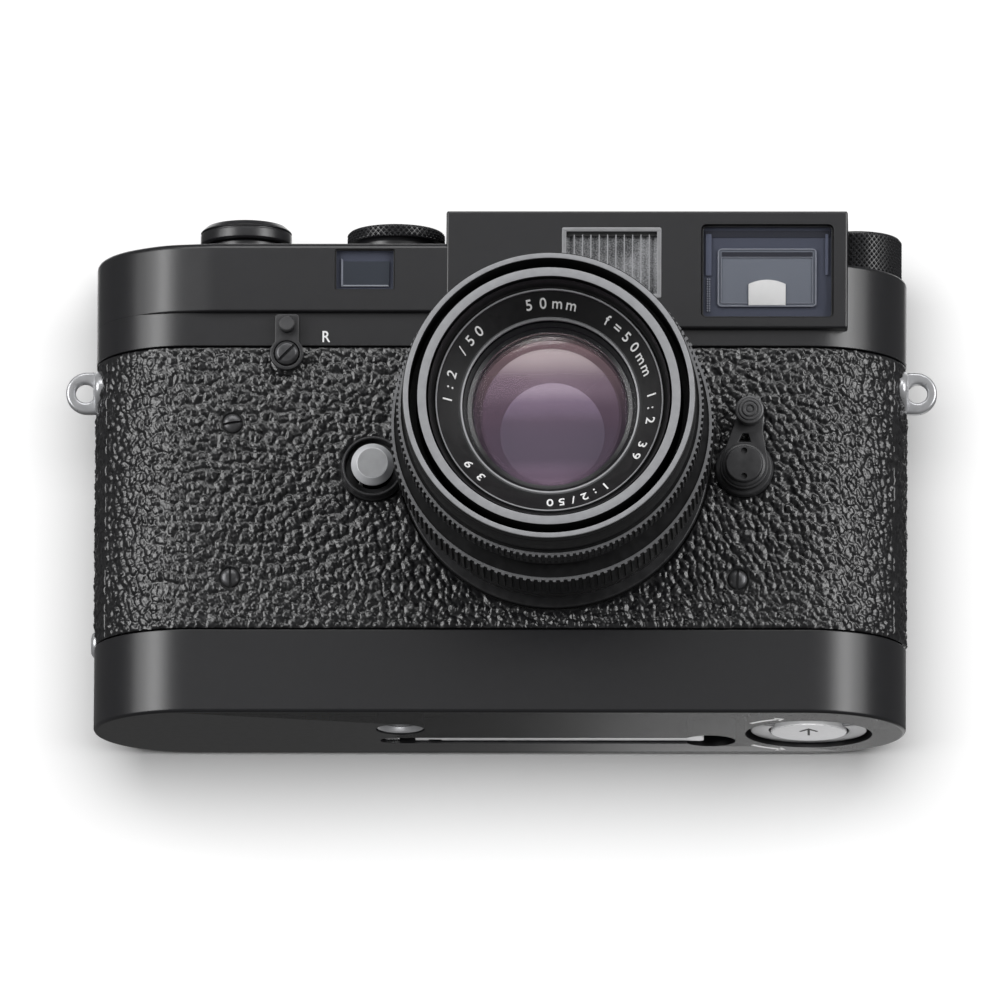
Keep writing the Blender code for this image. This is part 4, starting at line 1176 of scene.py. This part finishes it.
def wind_lever():
    at = (HUB.x, HUB.y, 0)
    collar = lathe("hub_collar", [
        (3.6, 86.3), (3.75, 87.2), (4.6, 87.9), (6.75, 87.9), (7.72, 87.02), (7.78, 86.85),
        (7.5, 86.78), (7.5, 86.55), (7.78, 86.48), (7.78, 84.95), (7.5, 84.7), (3.0, 84.7),
        (3.0, 79.6)], at, "up", PAINT, "camera", "black_paint", soft=0.08)
    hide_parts("release_collar")
    hub = lathe("lever_hub", [(3.3, 84.6), (6.3, 84.6), (6.6, 84.4), (6.6, 82.6), (7.95, 81.9),
                              (7.95, 81.7), (3.3, 81.7)], at, "up", PAINT, "advance_lever",
                "black_paint", soft=0.1)
    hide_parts("advance_lever")
    heading = math.degrees(math.atan2(8.6, -21.0))
    reach = math.hypot(21.0, 8.6)
    arm = (arc((0, 0), 5.2, 80, 280, 20) + [(9, -4.0), (15, -3.1), (19, -2.9)]
           + arc((reach, 0), 2.7, -80, 80, 12) + [(19, 2.9), (15, 3.1), (9, 4.0)])
    slab("lever_arm", turned(arm, heading), 82.3, 84.3, at, "up", PAINT, "advance_lever",
         edge=0.45, steps=3)
    tip = arc((reach, 0), 3.0, -95, 95, 14) + [(17.5, 3.3), (17.5, -3.3)]
    slab("lever_tip", turned(tip, heading), 81.9, 84.6, at, "up", INNER, "advance_lever",
         edge=0.6, steps=3)
    button = lathe("button_cap", [
        (0, 87.4), (0.95, 87.4), (1.05, 88.7), (1.6, 88.95), (2.6, 88.85), (3.15, 88.4),
        (3.2, 87.8), (1.6, 87.7), (1.5, 86.0)], at, "up", SATIN_FACE, "shutter_button")
    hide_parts("shutter_button")


SPEED_RADIUS = 6.1
SPEED_STEP = 27.0                         # degrees from one speed to the next


def dial():
    at = (DIAL.x, DIAL.y, 0)
    wall = knurled("dial_knurl", 8.32, 84.9, 86.85, at, "speed_dial", 52, 2,
                   [(0, 87.0), (7.5, 87.0), (7.95, 86.9), (8.0, 86.75)])
    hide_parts("speed_dial")
    lathe("dial_neck", [(8.0, 84.95), (7.2, 84.75), (6.95, 84.3), (6.95, 81.4)], at, "up", PAINT,
          "speed_dial", "black_paint", soft=0.15)
    speeds = ["B", "1", "2", "4", "8", "15", "30", "60", "125", "250", "500", "1000"]
    for i, text in enumerate(speeds):
        angle = 150 - i * SPEED_STEP
        turn = math.radians(angle)
        lettering("speed_%d" % i, text, 1.5, (at[0] + SPEED_RADIUS * math.cos(turn),
                                              at[1] + SPEED_RADIUS * math.sin(turn), 87.02), "up",
                  "speed_dial", spin=angle - 90, width=0.8)
    painted_light_tops(lathe("dial_hub", [(0, 87.3), (1.9, 87.3), (2.2, 87.1), (2.2, 86.9)], at, "up",
                      PAINT, "speed_dial", "black_paint"))


def rewind():
    at = (KNOB.x, KNOB.y, 0)
    wall = knurled("rewind_knurl", 7.55, REWIND_DECK + 0.15, 85.6, at, "rewind_knob", 54, 7,
                   [(0, 85.7), (3.2, 85.7), (3.4, 85.9), (6.9, 85.95), (7.2, 85.75),
                    (7.25, 85.55)])
    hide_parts("rewind_knob")
    lathe("rewind_foot", [(7.3, REWIND_DECK + 0.2), (3.5, REWIND_DECK + 0.1)], at, "up", PAINT,
          "rewind_knob", "black_paint")
    for i, angle in enumerate((40, 220)):
        turn = math.radians(angle)
        lathe("rewind_dot_%d" % i, [(0, 86.0), (0.5, 86.0), (0.55, 85.9)],
              (at[0] + 5.2 * math.cos(turn), at[1] + 5.2 * math.sin(turn), 0), "up", WHITE_FILL,
              "rewind_knob", "black_paint", sides=24, soft=0)


def shoe_and_counter():
    shoe_low, shoe_high = low_high("accessory_shoe")
    x = (shoe_low.x + shoe_high.x) / 2
    channel = [(-10.5, 0), (10.5, 0), (10.5, 2.4), (6.3, 2.4), (6.3, 1.8), (9.4, 1.8), (9.4, 0.7),
               (-9.4, 0.7), (-9.4, 1.8), (-6.3, 1.8), (-6.3, 2.4), (-10.5, 2.4)]
    shoe = slab("shoe_channel", channel, -shoe_high.y, -shoe_low.y, (x, 0, shoe_low.z), "front",
                ANODISED, "camera", edge=0.1)
    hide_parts("accessory_shoe")
    for i, (dx, y) in enumerate(((-3.4, -1.5), (3.4, -1.5), (-3.4, 10.5), (3.4, 10.5))):
        lathe("shoe_screw_%d" % i, [(0, 0.85), (1.0, 0.85), (1.25, 0.7), (1.25, 0.5)],
              (x + dx, y, shoe_low.z), "up", STEEL, sides=32, soft=0.05)
    spot = centre("counter_window")
    lathe("counter_bezel", [(2.4, RELEASE_DECK + 0.02), (2.45, RELEASE_DECK + 0.35),
                            (3.0, RELEASE_DECK + 0.35), (3.3, RELEASE_DECK + 0.02)],
          (spot.x, spot.y, 0), "up", PAINT, "camera", "black_paint", sides=64, soft=0.08)
    lathe("counter_floor", [(0, RELEASE_DECK + 0.03), (2.45, RELEASE_DECK + 0.03)],
          (spot.x, spot.y, 0), "up", BLACK_AND_RECESS_SHADE, "camera", "black_paint", sides=64, soft=0)
    lettering("counter_number", "0", 1.8, (spot.x, spot.y, RELEASE_DECK + 0.06), "up",
              "camera")
    glass = lathe("counter_glass", dome(2.45, RELEASE_DECK + 0.25, 0.45, 8), (spot.x, spot.y, 0),
                  "up", clear_glass("counter_glass", 0.2), "camera", "glass", sides=64, soft=0)
    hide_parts("counter_window")


wind_lever()
dial()
rewind()
shoe_and_counter()


# ---------------------------------------------------------------- windows

def painted_shade_glass(name, low, high, axis="Y"):
    """A dark glassy face with painted shading from one edge to the other."""
    return painted_light_gradient(name, [(0.0, low), (1.0, high)], 0.15, axis)


def pane(name, x_low, x_high, z_low, z_high, depth, finish, face_y, corner=0.15, thick=0.2):
    """A thin upright plate set a given depth behind a face of the housing."""
    return slab(name, round_box(x_low, x_high, z_low, z_high, corner), -face_y - depth - thick,
                -face_y - depth, (0, 0, 0), "front", finish, "camera", edge=0.03, steps=0)


def outline_frame(name, x_low, x_high, z_low, z_high, width, depth, finish, face_y, corner,
                  thick=0.25):
    """An upright rectangular frame set a given depth behind a face of the housing."""
    outer = round_box(x_low, x_high, z_low, z_high, corner)
    inner = round_box(x_low + width, x_high - width, z_low + width, z_high - width,
                      max(0.1, corner - width))
    return slab(name, [outer, inner], -face_y - depth - thick, -face_y - depth, (0, 0, 0), "front",
                finish, "camera", edge=min(0.08, width / 3), steps=1)


# window pane tints, each with painted shading across it
BLUE_DARK = painted_shade_glass("glass_blue_dark", (0.085, 0.092, 0.125), (0.070, 0.078, 0.105))
BLUE_MID = painted_shade_glass("glass_blue_mid", (0.085, 0.096, 0.122), (0.25, 0.268, 0.31))
BLUE_STRIP = painted_shade_glass("glass_blue_strip", (0.13, 0.145, 0.20), (0.10, 0.11, 0.155))
BLUE_LINE = painted_shade_glass("glass_blue_line", (0.28, 0.295, 0.34), (0.20, 0.215, 0.26))
# dark glass bands: painted shadow under the top edges inside the finder window
PAINTED_SHADOW_BAND = painted_shade_glass("glass_painted_shadow", (0.045, 0.047, 0.058), (0.032, 0.034, 0.042))
COVER_GLASS = clear_glass("window_glass", 0.10)


def finder_window():
    low_x, high_x, low_z, high_z = FINDER_WINDOW
    face = FINDER_FACE
    pane("finder_back", low_x + 0.25, high_x - 0.25, low_z + 0.25, high_z - 0.25, 1.6, BLUE_DARK,
         face, 0.7)
    rise = 0.3
    top = high_z + rise
    # painted shadow under the window's top edge
    pane("finder_top_band", low_x + 0.6, high_x - 0.6, top - 2.3, top - 1.1, 1.45, PAINTED_SHADOW_BAND,
         face)
    pane("finder_left_strip", low_x + 0.75, low_x + 1.75, top - 9.0, top - 1.75, 1.2, BLUE_STRIP,
         face)
    pane("finder_right_strip", low_x + 21.05, low_x + 21.6, top - 8.9, top - 1.75, 1.2, BLUE_STRIP,
         face)
    for i in range(14):
        for k in range(2):
            x = low_x + 0.95 + 0.36 * k
            z = top - 9.5 - 0.42 * i
            pane("finder_dot_%d_%d" % (i, k), x, x + 0.26, z - 0.3, z, 1.2, BLUE_LINE, face, 0.06)
    pane("finder_inner", low_x + 2.9, low_x + 19.5, top - 14.3, top - 4.4, 1.35, BLUE_MID, face,
         0.6)
    # painted shadow under the top of the inner frame
    pane("finder_inner_band", low_x + 3.5, low_x + 18.9, top - 5.7, top - 4.9, 1.2, PAINTED_SHADOW_BAND,
         face)
    outline_frame("finder_inner_frame", low_x + 2.8, low_x + 19.6, top - 14.45, top - 4.3, 0.24,
                  1.1, BLUE_LINE, face, 0.7)
    outline_frame("finder_mask_frame", low_x + 3.35, low_x + 19.0, top - 13.9, top - 5.75, 0.12,
                  1.12, BLUE_LINE, face, 0.3)
    patch = [(low_x + 8.05, top - 14.2), (low_x + 14.35, top - 14.2), (low_x + 14.35, top - 10.5)]
    for k in range(1, 8):
        t = k / 8
        patch.append((low_x + 14.35 - 6.3 * t, top - 10.5 + 0.75 * 4 * t * (1 - t)))
    patch.append((low_x + 8.05, top - 10.5))
    slab("finder_patch", patch, -face - 1.25, -face - 1.0, (0, 0, 0), "front", MASK_WHITE,
         "camera", edge=0.06, steps=1)
    # the dark seat round the window is painted shade
    outline_frame("finder_seat", low_x + 0.05, high_x - 0.05, low_z + 0.05, high_z - 0.05, 0.35,
                  0.75, BLACK_AND_RECESS_SHADE, face, 0.85)
    glass = pane("finder_glass", low_x + 0.3, high_x - 0.3, low_z + 0.3, high_z - 0.3, 0.55,
                 COVER_GLASS, face, 0.7, 0.1)
    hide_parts("viewfinder_glass")


RIBS = 11
RIB_DEPTH = 1.35
RIB_BORDER = 0.7


def frosted_window():
    low_x, high_x, low_z, high_z = FROSTED_WINDOW
    face = FINDER_FACE
    frame_piece = outline_frame("frosted_frame", low_x + 0.03, high_x - 0.03, low_z + 0.03,
                                high_z - 0.03, 0.75, 0.05, SHEEN_AND_PALE_METAL, face, 0.35, thick=0.8)
    inner_low = low_x + RIB_BORDER
    inner_high = high_x - RIB_BORDER
    pitch = (inner_high - inner_low) / RIBS
    line = []
    for i in range(RIBS):
        start = inner_low + i * pitch
        for share, proud in ((0.0, 0.62), (0.09, 0.12), (0.5, 0.0), (0.91, 0.12)):
            line.append((start + share * pitch, proud))
    line.append((inner_high, 0.62))
    rows = 26
    vertices = []
    for k in range(rows + 1):
        z = low_z + RIB_BORDER + (high_z - low_z - 2 * RIB_BORDER) * k / rows
        for x, proud in line:
            vertices.append((x, face + RIB_DEPTH - proud, z))
    count = len(line)
    faces = [(k * count + i, k * count + i + 1, (k + 1) * count + i + 1, (k + 1) * count + i)
             for k in range(rows) for i in range(count - 1)]
    made, tree, shader = new_material("frosted_ribs")
    grit = noise_node(tree, 3800.0, 6.0)
    swell = noise_node(tree, 160.0, 2.0)
    grit_level = math_node(tree, "MULTIPLY", grit.outputs["Fac"], 0.75)
    mix = math_node(tree, "MULTIPLY_ADD", swell.outputs["Fac"], 0.6, grit_level)
    shade = ramp_between(tree, mix, (0.035, 0.037, 0.04), (0.34, 0.345, 0.36), 0.55, 0.9)
    tree.links.new(shade.outputs["Color"], shader.inputs["Base Color"])
    shader.inputs["Roughness"].default_value = 0.35
    ribbed = mesh_object("frosted_ribs", vertices, faces)
    as_piece(ribbed, made, "camera", smooth=20.0)
    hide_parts("illumination_window")
    # pale strips on the rib crests: painted highlights
    for i in range(1, RIBS):
        x = inner_low + i * pitch
        pane("frosted_ridge_%d" % i, x - 0.1, x + 0.1, low_z + 0.8, high_z - 1.2, 0.6, PAINTED_RIM_SHEEN,
             face, 0.04)
    # a dark strip painted as the shadow under the frosted window's top edge
    pane("frosted_shade", inner_low, inner_high, high_z - 1.5, high_z - 0.75, 0.7, BLACK_AND_RECESS_SHADE, face,
         0.05)


def patch_window():
    low_x, high_x, low_z, high_z = PATCH_WINDOW
    face = BROW
    pane("patch_back", low_x + 0.1, high_x - 0.1, low_z + 0.1, high_z - 0.1, 1.2, BLUE_DARK, face,
         0.35)
    rise = 0.2
    pane("patch_inner", low_x + 1.35, high_x - 0.95, low_z + 0.85 + rise, low_z + 5.0 + rise, 0.9,
         painted_shade_glass("glass_patch", (0.045, 0.052, 0.064), (0.058, 0.066, 0.078), "X"), face)
    pale = painted_shade_glass("patch_edge", (0.36, 0.38, 0.42), (0.30, 0.32, 0.36))
    slab("patch_left_edge", [(low_x + 1.05, low_z + 0.65 + rise), (low_x + 1.4, low_z + 0.9 + rise),
                             (low_x + 1.4, low_z + 5.2 + rise), (low_x + 1.05, low_z + 5.5 + rise)],
         -face - 1.0, -face - 0.75, (0, 0, 0), "front", BLUE_LINE, "camera", edge=0.03,
         steps=0)
    slab("patch_low_edge", [(low_x + 1.1, low_z + 0.6 + rise), (high_x - 0.95, low_z + 0.6 + rise),
                            (high_x - 1.2, low_z + 0.86 + rise), (low_x + 1.4, low_z + 0.86 + rise)],
         -face - 1.0, -face - 0.75, (0, 0, 0), "front", pale, "camera", edge=0.03, steps=0)
    # the dark seat round the window is painted shade
    outline_frame("patch_seat", low_x + 0.02, high_x - 0.02, low_z + 0.02, high_z - 0.02, 0.22,
                  0.25, BLACK_AND_RECESS_SHADE, face, 0.45)
    glass = pane("patch_glass", low_x + 0.2, high_x - 0.2, low_z + 0.2, high_z - 0.2, 0.3,
                 COVER_GLASS, face, 0.3, 0.08)
    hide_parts("rangefinder_window")


finder_window()
frosted_window()
patch_window()


# ---------------------------------------------------------------- front controls

def front_at(node):
    """A CAD node's centre, brought to the body's front plane."""
    spot = centre(node)
    return (spot.x, FRONT, spot.z)


def screw_slot(at, angle, length, width, low, high):
    """Cutter for the slot across a screw's head; length and width are half sizes."""
    slot = loft("cutter", round_box(-length, length, -width, width, 0.05), [(low, 0), (high, 0)],
                at, "front")
    slot.matrix_world = slot.matrix_world @ Matrix.Rotation(math.radians(angle), 4, "Z")
    return slot


def front_screws():
    for node, angle in (("front_screw_upper", 9.0), ("front_screw_lower", 92.0),
                        ("front_screw_right", 88.0)):
        at = front_at(node)
        screw = lathe(node + "_head", [(0, 0.42), (0.7, 0.38), (1.3, 0.2), (1.66, -0.15),
                                       (1.68, -0.7)], at, "front", None, sides=64,
                      soft=0.2)
        drilled(screw, [screw_slot(at, angle, 2.5, 0.22, -0.6, 1.0)], SCREW_BLACK)
        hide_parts(node)
        # the dark seat round the screw head is painted shade in the gap
        lathe(node + "_seat", [(1.72, -0.6), (1.74, -0.25), (2.0, -0.1)], at, "front", BLACK_AND_RECESS_SHADE,
              sides=64, soft=0)


def rewind_release():
    at = front_at("release_lever_screw")
    arm = arc((1.45, 6.25), 0.57, 0, 90, 6) + arc((-1.45, 6.25), 0.57, 90, 180, 6)
    hub = arc((0, 0), 2.86, 135, 405, 40)
    bore = circle((0, 0), 2.2, 48)
    lever = slab("release_arm", [arm + hub, bore], 0.3, 1.7, at, "front", CONTROL,
                 "rewind_release_lever", edge=0.16)
    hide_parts("rewind_release_lever")
    knob_at = (at[0], at[1], at[2] + 4.9)
    lathe("release_knob", [(0, 3.1), (1.2, 3.1), (1.43, 2.88), (1.43, 1.6)], knob_at, "front",
          CONTROL, "rewind_release_lever", "black_paint", sides=64, soft=0.08)
    lathe("release_knob_face", [(0, 3.13), (1.12, 3.13), (1.15, 3.08)], knob_at, "front",
          CONTROL_FACE, "rewind_release_lever", "black_paint", sides=64, soft=0)
    head = lathe("release_screw_head", [(0, 2.45), (1.5, 2.35), (2.0, 1.95), (2.05, 0.3)], at,
                 "front", None, sides=64, soft=0.15)
    drilled(head, [screw_slot(at, 45, 3, 0.24, 1.5, 4)], SCREW_BLACK)
    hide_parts("release_lever_screw")
    lettering("rewind_mark", "R", 2.75, (at[0] + 6.55, FRONT - 0.02, at[2] + 3.15), "front",
              "camera", width=0.86, bold=0.03)


def selector():
    at = front_at("selector_base")
    seat = lathe("selector_seat", [(3.0, 1.25), (4.55, 1.2), (4.8, 0.9), (4.85, 0.45),
                                   (4.95, 0.3), (4.95, -0.6)], at, "front", CONTROL, "camera",
                 "black_paint", sides=96, soft=0.08)
    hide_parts("selector_base")
    stud = (0.9, 9.2)
    outline = (arc((0, 0), 4.1, 172, 370, 36) + [(3.15, 6.0)]
               + arc(stud, 2.3, -8, 172, 20) + [(-1.4, 8.0)])
    window = [(-1.0, 4.05), (1.15, 4.05), (0.65, 5.5), (-0.3, 5.5)]
    lever = slab("selector_arm", [outline, window], 1.5, 2.9, at, "front", CONTROL,
                 "frame_selector_lever", edge=0.14)
    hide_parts("frame_selector_lever")
    stud_at = (at[0] + stud[0], at[1], at[2] + stud[1])
    rings = [(0, 5.25), (0.42, 5.25), (0.5, 5.1), (0.72, 5.1), (0.76, 5.38), (1.18, 5.38),
             (1.24, 5.1), (1.42, 5.1), (1.46, 5.25), (1.8, 5.22), (1.86, 4.95), (2.02, 4.95),
             (2.06, 5.0), (2.36, 4.9), (2.44, 4.7), (2.44, 2.8)]
    lathe("selector_stud", rings, stud_at, "front", CONTROL_FACE, "frame_selector_lever",
          "black_paint", sides=80, soft=0.05)
    cap = lathe("selector_cap_disc", [(0, 4.3), (2.95, 4.3), (3.15, 4.1), (3.2, 3.5), (3.55, 3.4),
                                      (3.75, 3.2), (3.75, 2.9)], at, "front", None, "camera",
                "black_paint", sides=96, soft=0.06)
    holes = [loft("cutter", circle((0, dz), 0.55, 24), [(3.75, 0), (6, 0)], at, "front")
             for dz in (2.2, -2.2)]
    drilled(cap, holes, CONTROL)
    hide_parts("selector_cap")


def lens_release():
    at = front_at("lens_release_ring")
    ring = lathe("release_guard", [
        (5.5, -0.6), (5.55, 0.35), (5.35, 0.7), (5.25, 2.3), (5.1, 2.6), (4.85, 2.6), (4.7, 2.35),
        (4.6, 0.1), (3.5, 0.05), (3.5, -0.6)], at, "front", CONTROL, "camera", "black_paint",
        sides=96, soft=0.1)
    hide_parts("lens_release_ring")
    button = lathe("release_button", [
        (0, 4.9), (2.6, 4.9), (2.66, 4.86), (3.6, 3.75), (3.64, 3.6), (3.6, 3.1), (3.45, 3.05),
        (3.45, 2.45), (2.0, 2.4)], at, "front", SATIN_EDGE, "lens_release_button", "chrome",
        sides=96, soft=0.05)
    lathe("release_button_stem", [(2.4, 2.42), (2.4, 2.1), (1.2, 2.1)], at, "front", BLACK_AND_RECESS_SHADE,
          "lens_release_button", "chrome", sides=64, soft=0.05)
    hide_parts("lens_release_button")
    lathe("release_button_face", [(0, 4.93), (2.5, 4.93), (2.53, 4.9)], at, "front", SATIN_FACE,
          "lens_release_button", "chrome", sides=96, soft=0)


SEAT_STRETCH = 1.62                       # the lugs' seats are oval


def lugs_and_stud():
    for hand, side in (("left", -1), ("right", 1)):
        node = "strap_lug_" + hand
        z = centre(node).z
        outline = arc((0, 0), 3.6, -90, 90, 32) + [(-1.8, 3.6), (-1.8, -3.6)]
        hole = circle((0.3, 0), 1.65, 40)
        mirrored = [[(side * x, y) for x, y in loop] for loop in (outline, hole)]
        lug = slab("lug_plate_" + hand, mirrored, -0.95, 0.95,
                   (side * 70.6, 0, z), "front", POLISHED, "camera", edge=0.5, steps=4)
        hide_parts(node)
        seat = lathe("lug_seat_" + hand,
                     [(0, 0.55), (2.9, 0.5), (3.6, 0.1), (3.75, -0.4), (3.75, -2.2)],
                     (side * 68.9, 0, z), "right", POLISHED, "camera", "chrome", sides=72,
                     soft=0.25)
        seat.data.transform(Matrix.Diagonal((1.0, SEAT_STRETCH, 1.0, 1.0)))
        if side < 0:
            seat.data.transform(Matrix.Rotation(math.radians(180), 4, "Y"))
    low, high = low_high("base_stud")
    at = (high.x, 0, (low.z + high.z) / 2)
    stud = lathe("side_stud", [(0, -1.35), (1.6, -1.3), (2.2, -0.9), (2.35, -0.4), (2.35, 0.3)], at,
                 "right", POLISHED, "camera", "chrome", sides=72, soft=0.2)
    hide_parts("base_stud")


def flange():
    ring = lathe("flange_ring", [(26.4, -0.5), (26.4, 0.7), (26.2, 0.9), (22.2, 0.9), (22.0, 0.7),
                                 (22.0, -0.7)], LENS_AT, "front", None, "camera", "chrome",
                 soft=0.1)
    notch = loft("cutter", circle((0, 0), 5.65, 64), [(-2, 0), (3, 0)],
                 front_at("lens_release_ring"), "front")
    # the flange is darkened as painted shade
    drilled(ring, [notch], SHADED_FLANGE_STEEL)
    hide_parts("mount_flange")


front_screws()
rewind_release()
selector()
lens_release()
lugs_and_stud()
flange()


# ---------------------------------------------------------------- underside

def round_lock(points):
    """Points given from the lock disc's axis, in the row frame."""
    return [(x + LOCK[0], y + LOCK[1]) for x, y in points]


def bush_and_trigger():
    bush = lathe("bush_dish", [
        (3.0, 3.0), (3.05, 1.1), (3.3, 0.75), (3.55, 0.45), (3.85, 0.25), (4.0, 0.35),
        (4.05, 0.6), (4.05, 2.0)], BUSH_AT, "up", SHEEN_AND_PALE_METAL, "winder", "chrome", sides=96,
        soft=0.05)
    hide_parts("tripod_bush")
    thread = [(3.0 + 0.12 * (k % 2), 1.2 + 0.32 * k) for k in range(15)]
    lathe("bush_thread", thread + [(0, 5.8)], BUSH_AT, "up", STEEL, "winder", "chrome", sides=64,
          soft=0)
    outline = arc((SLOT_LEFT + SLOT_HALF, SLOT_Y), 1.7, 90, 270, 14)
    outline += [(SLOT_LEFT + 3.3, SLOT_Y - 1.7), (SLOT_LEFT + 3.3, SLOT_Y + 1.7)]
    stop = slab("slot_stop", outline, 0.35, 1.6, (0, 0, 0), "up", CHROME, "trigger_carriage",
                edge=0.3, steps=3)
    left = TRIGGER_LOW.x
    right = TRIGGER_HIGH.x
    bar = [(left + 0.8, 1.55), (left + 3.2, 1.55), (left + 3.2, 0.9), (left + 5.0, 0.9),
           (left + 5.4, 1.55), (right - 3.4, 1.55), (right - 0.7, 1.9), (right, 1.45),
           (right, -1.45), (right - 0.7, -1.9), (right - 3.4, -1.55), (left + 0.8, -1.55)]
    outline = [(x, SLOT_Y + y) for x, y in reversed(bar)]
    lever = slab("trigger_bar", outline, 0.35, 1.75, (0, 0, 0), "up", TRIGGER_STEEL,
                 "trigger_lever", edge=0.2)
    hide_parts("trigger_lever")
    eye = lathe("trigger_eye", [(0.9, 1.1), (1.85, 1.1), (1.85, -1.1), (0.9, -1.1)],
                TRIGGER_PIN_AT, "front", CHROME, "trigger_lever", "chrome", sides=48,
                closed=True, soft=0.1)
    return [bush, stop, lever, eye]


def lock():
    face = lathe("lock_face", [(0, 0.2), (6.25, 0.2), (6.46, 0.4), (6.46, 1.8)], LOCK_AT, "up",
                 LOCK_FACE, "lock_disc", "chrome", sides=128, soft=0.08)
    # the dark floor of the lock's well is painted shade
    lathe("lock_floor", [(6.4, 2.05), (10.8, 2.05)], LOCK_AT, "up", BLACK_AND_RECESS_SHADE, "lock_disc", "chrome",
          sides=96, soft=0)
    ring = arc((0, 0), 9.9, -32, 212, 60) + arc((0, 0), 6.75, 212, -32, 60)
    bail = slab("bail_ring", round_lock(ring), 0.6, 1.6, (0, 0, 0), "up", STEEL, "lock_bail",
                edge=0.22, steps=3)
    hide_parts("lock_bail")
    for name, start, end in (("bail_arm_right", -50, -33), ("bail_arm_left", 213, 230)):
        arm = arc((0, 0), 9.8, start, end, 8) + arc((0, 0), 6.85, end, start, 8)
        slab(name, round_lock(arm), 0.95, 1.6, (0, 0, 0), "up", STEEL, "lock_bail",
             edge=0.18)
    mark = [(-0.22, -2.6), (0.22, -2.6), (0.22, 1.2), (1.5, -0.1), (1.8, 0.25), (0.0, 2.3),
            (-1.8, 0.25), (-1.5, -0.1), (-0.22, 1.2)]
    pointer = [(LOCK[0] + x * 0.9, LOCK[1] - 1.2 - y * 1.1) for x, y in reversed(mark)]
    slab("lock_arrow", pointer, 0.16, 0.3, (0, 0, 0), "up", BLACK_AND_RECESS_SHADE, "lock_disc",
         edge=0.01, steps=0)
    return [face, bail]


def turn_arrows():
    """Two curved arrows painted on the winder round the lock."""
    marks = []
    for name, start, end in (("turn_arrow_front", 222, 248), ("turn_arrow_rear", 138, 112)):
        direction = 1 if end > start else -1
        band = arc((0, 0), 13.4, start, end, 10) + arc((0, 0), 12.7, end, start, 10)
        tip = math.radians(end + 4 * direction)
        back = math.radians(end - 2 * direction)
        head = [(radius * math.cos(angle), radius * math.sin(angle))
                for radius, angle in ((13.05, tip), (14.3, back), (11.8, back))]
        for piece, outline in ((name, round_lock(band)[::direction]),
                               (name + "_head", round_lock(head))):
            marks.append(slab(piece, outline, -0.03, 0.05, (0, 0, 0), "up", WHITE_FILL, "winder",
                              edge=0.01, steps=0))
    return marks


def underside():
    bright = bush_and_trigger() + lock() + turn_arrows()
    lamp = area_light("metal_light", (0.05, -0.55, -0.6), (0.02, 0, 0), 0.5, 0.3, 5.6)
    lamp.light_linking.receiver_collection = linked_group("underside_bright", bright, "INCLUDE")


underside()


# ---------------------------------------------------------------- back

def back():
    half = END_CENTRE * 2 + math.pi * END_RADIUS
    low, high = low_high("door_covering")
    panel = hide_sheet("door_hide", half - high.x, half - low.x, low.z, high.z, DOOR_STEP, [], 9,
                       body="back_door")
    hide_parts("door_covering")
    spot = centre("eyepiece")
    at = (spot.x, 0, spot.z)
    ring = lathe("eyepiece_ring", [
        (3.4, -16.0), (3.5, -18.5), (4.2, -19.15), (5.6, -19.2), (6.3, -18.9), (6.6, -18.3),
        (6.6, -17.1), (6.3, -16.9), (4.9, -16.8)], at, "front", sides=96, soft=0.2)
    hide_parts("eyepiece")
    lathe("eyepiece_lens", [(3.5, -17.2), (2.0, -17.5), (0, -17.6)], at, "front", BLUE_DARK,
          "camera", "glass", sides=64, soft=0.2)
    lathe("film_plane_mark", [(0, -16.8), (0.7, -16.8), (0.72, -16.7)], (-36.0, 0, REWIND_DECK - 2),
          "front", WHITE_FILL, "camera", "black_paint", sides=32, soft=0)
    lathe("hinge_barrel", [(1.0, 0.0), (1.25, 0.2), (1.25, 55.8), (1.0, 56.0)],
          (low.x + 2.0, 15.75, 60.9), "right", ANODISED, "back_door", "black_inner", sides=48,
          soft=0.1)


back()


# ---------------------------------------------------------------- finish

for node, obj in frame["nodes"].items():
    finish = CAD_FINISH.get(SLOT_OF[node])
    if finish is None:
        finish = solid_glass("glass_" + node)
    for slot_index in range(max(1, len(obj.material_slots))):
        if obj.material_slots:
            obj.material_slots[slot_index].material = finish
        else:
            obj.data.materials.append(finish)

painted = [piece for piece in bpy.data.objects
           if piece.type == "MESH" and any(slot.material == PAINT for slot in piece.material_slots)]
sheen = area_light("front_sheen", (0.0, -1.25, 0.33), AIM, 1.6, 0.5, 1.1)
sheen.light_linking.receiver_collection = linked_group("painted", painted, "INCLUDE")
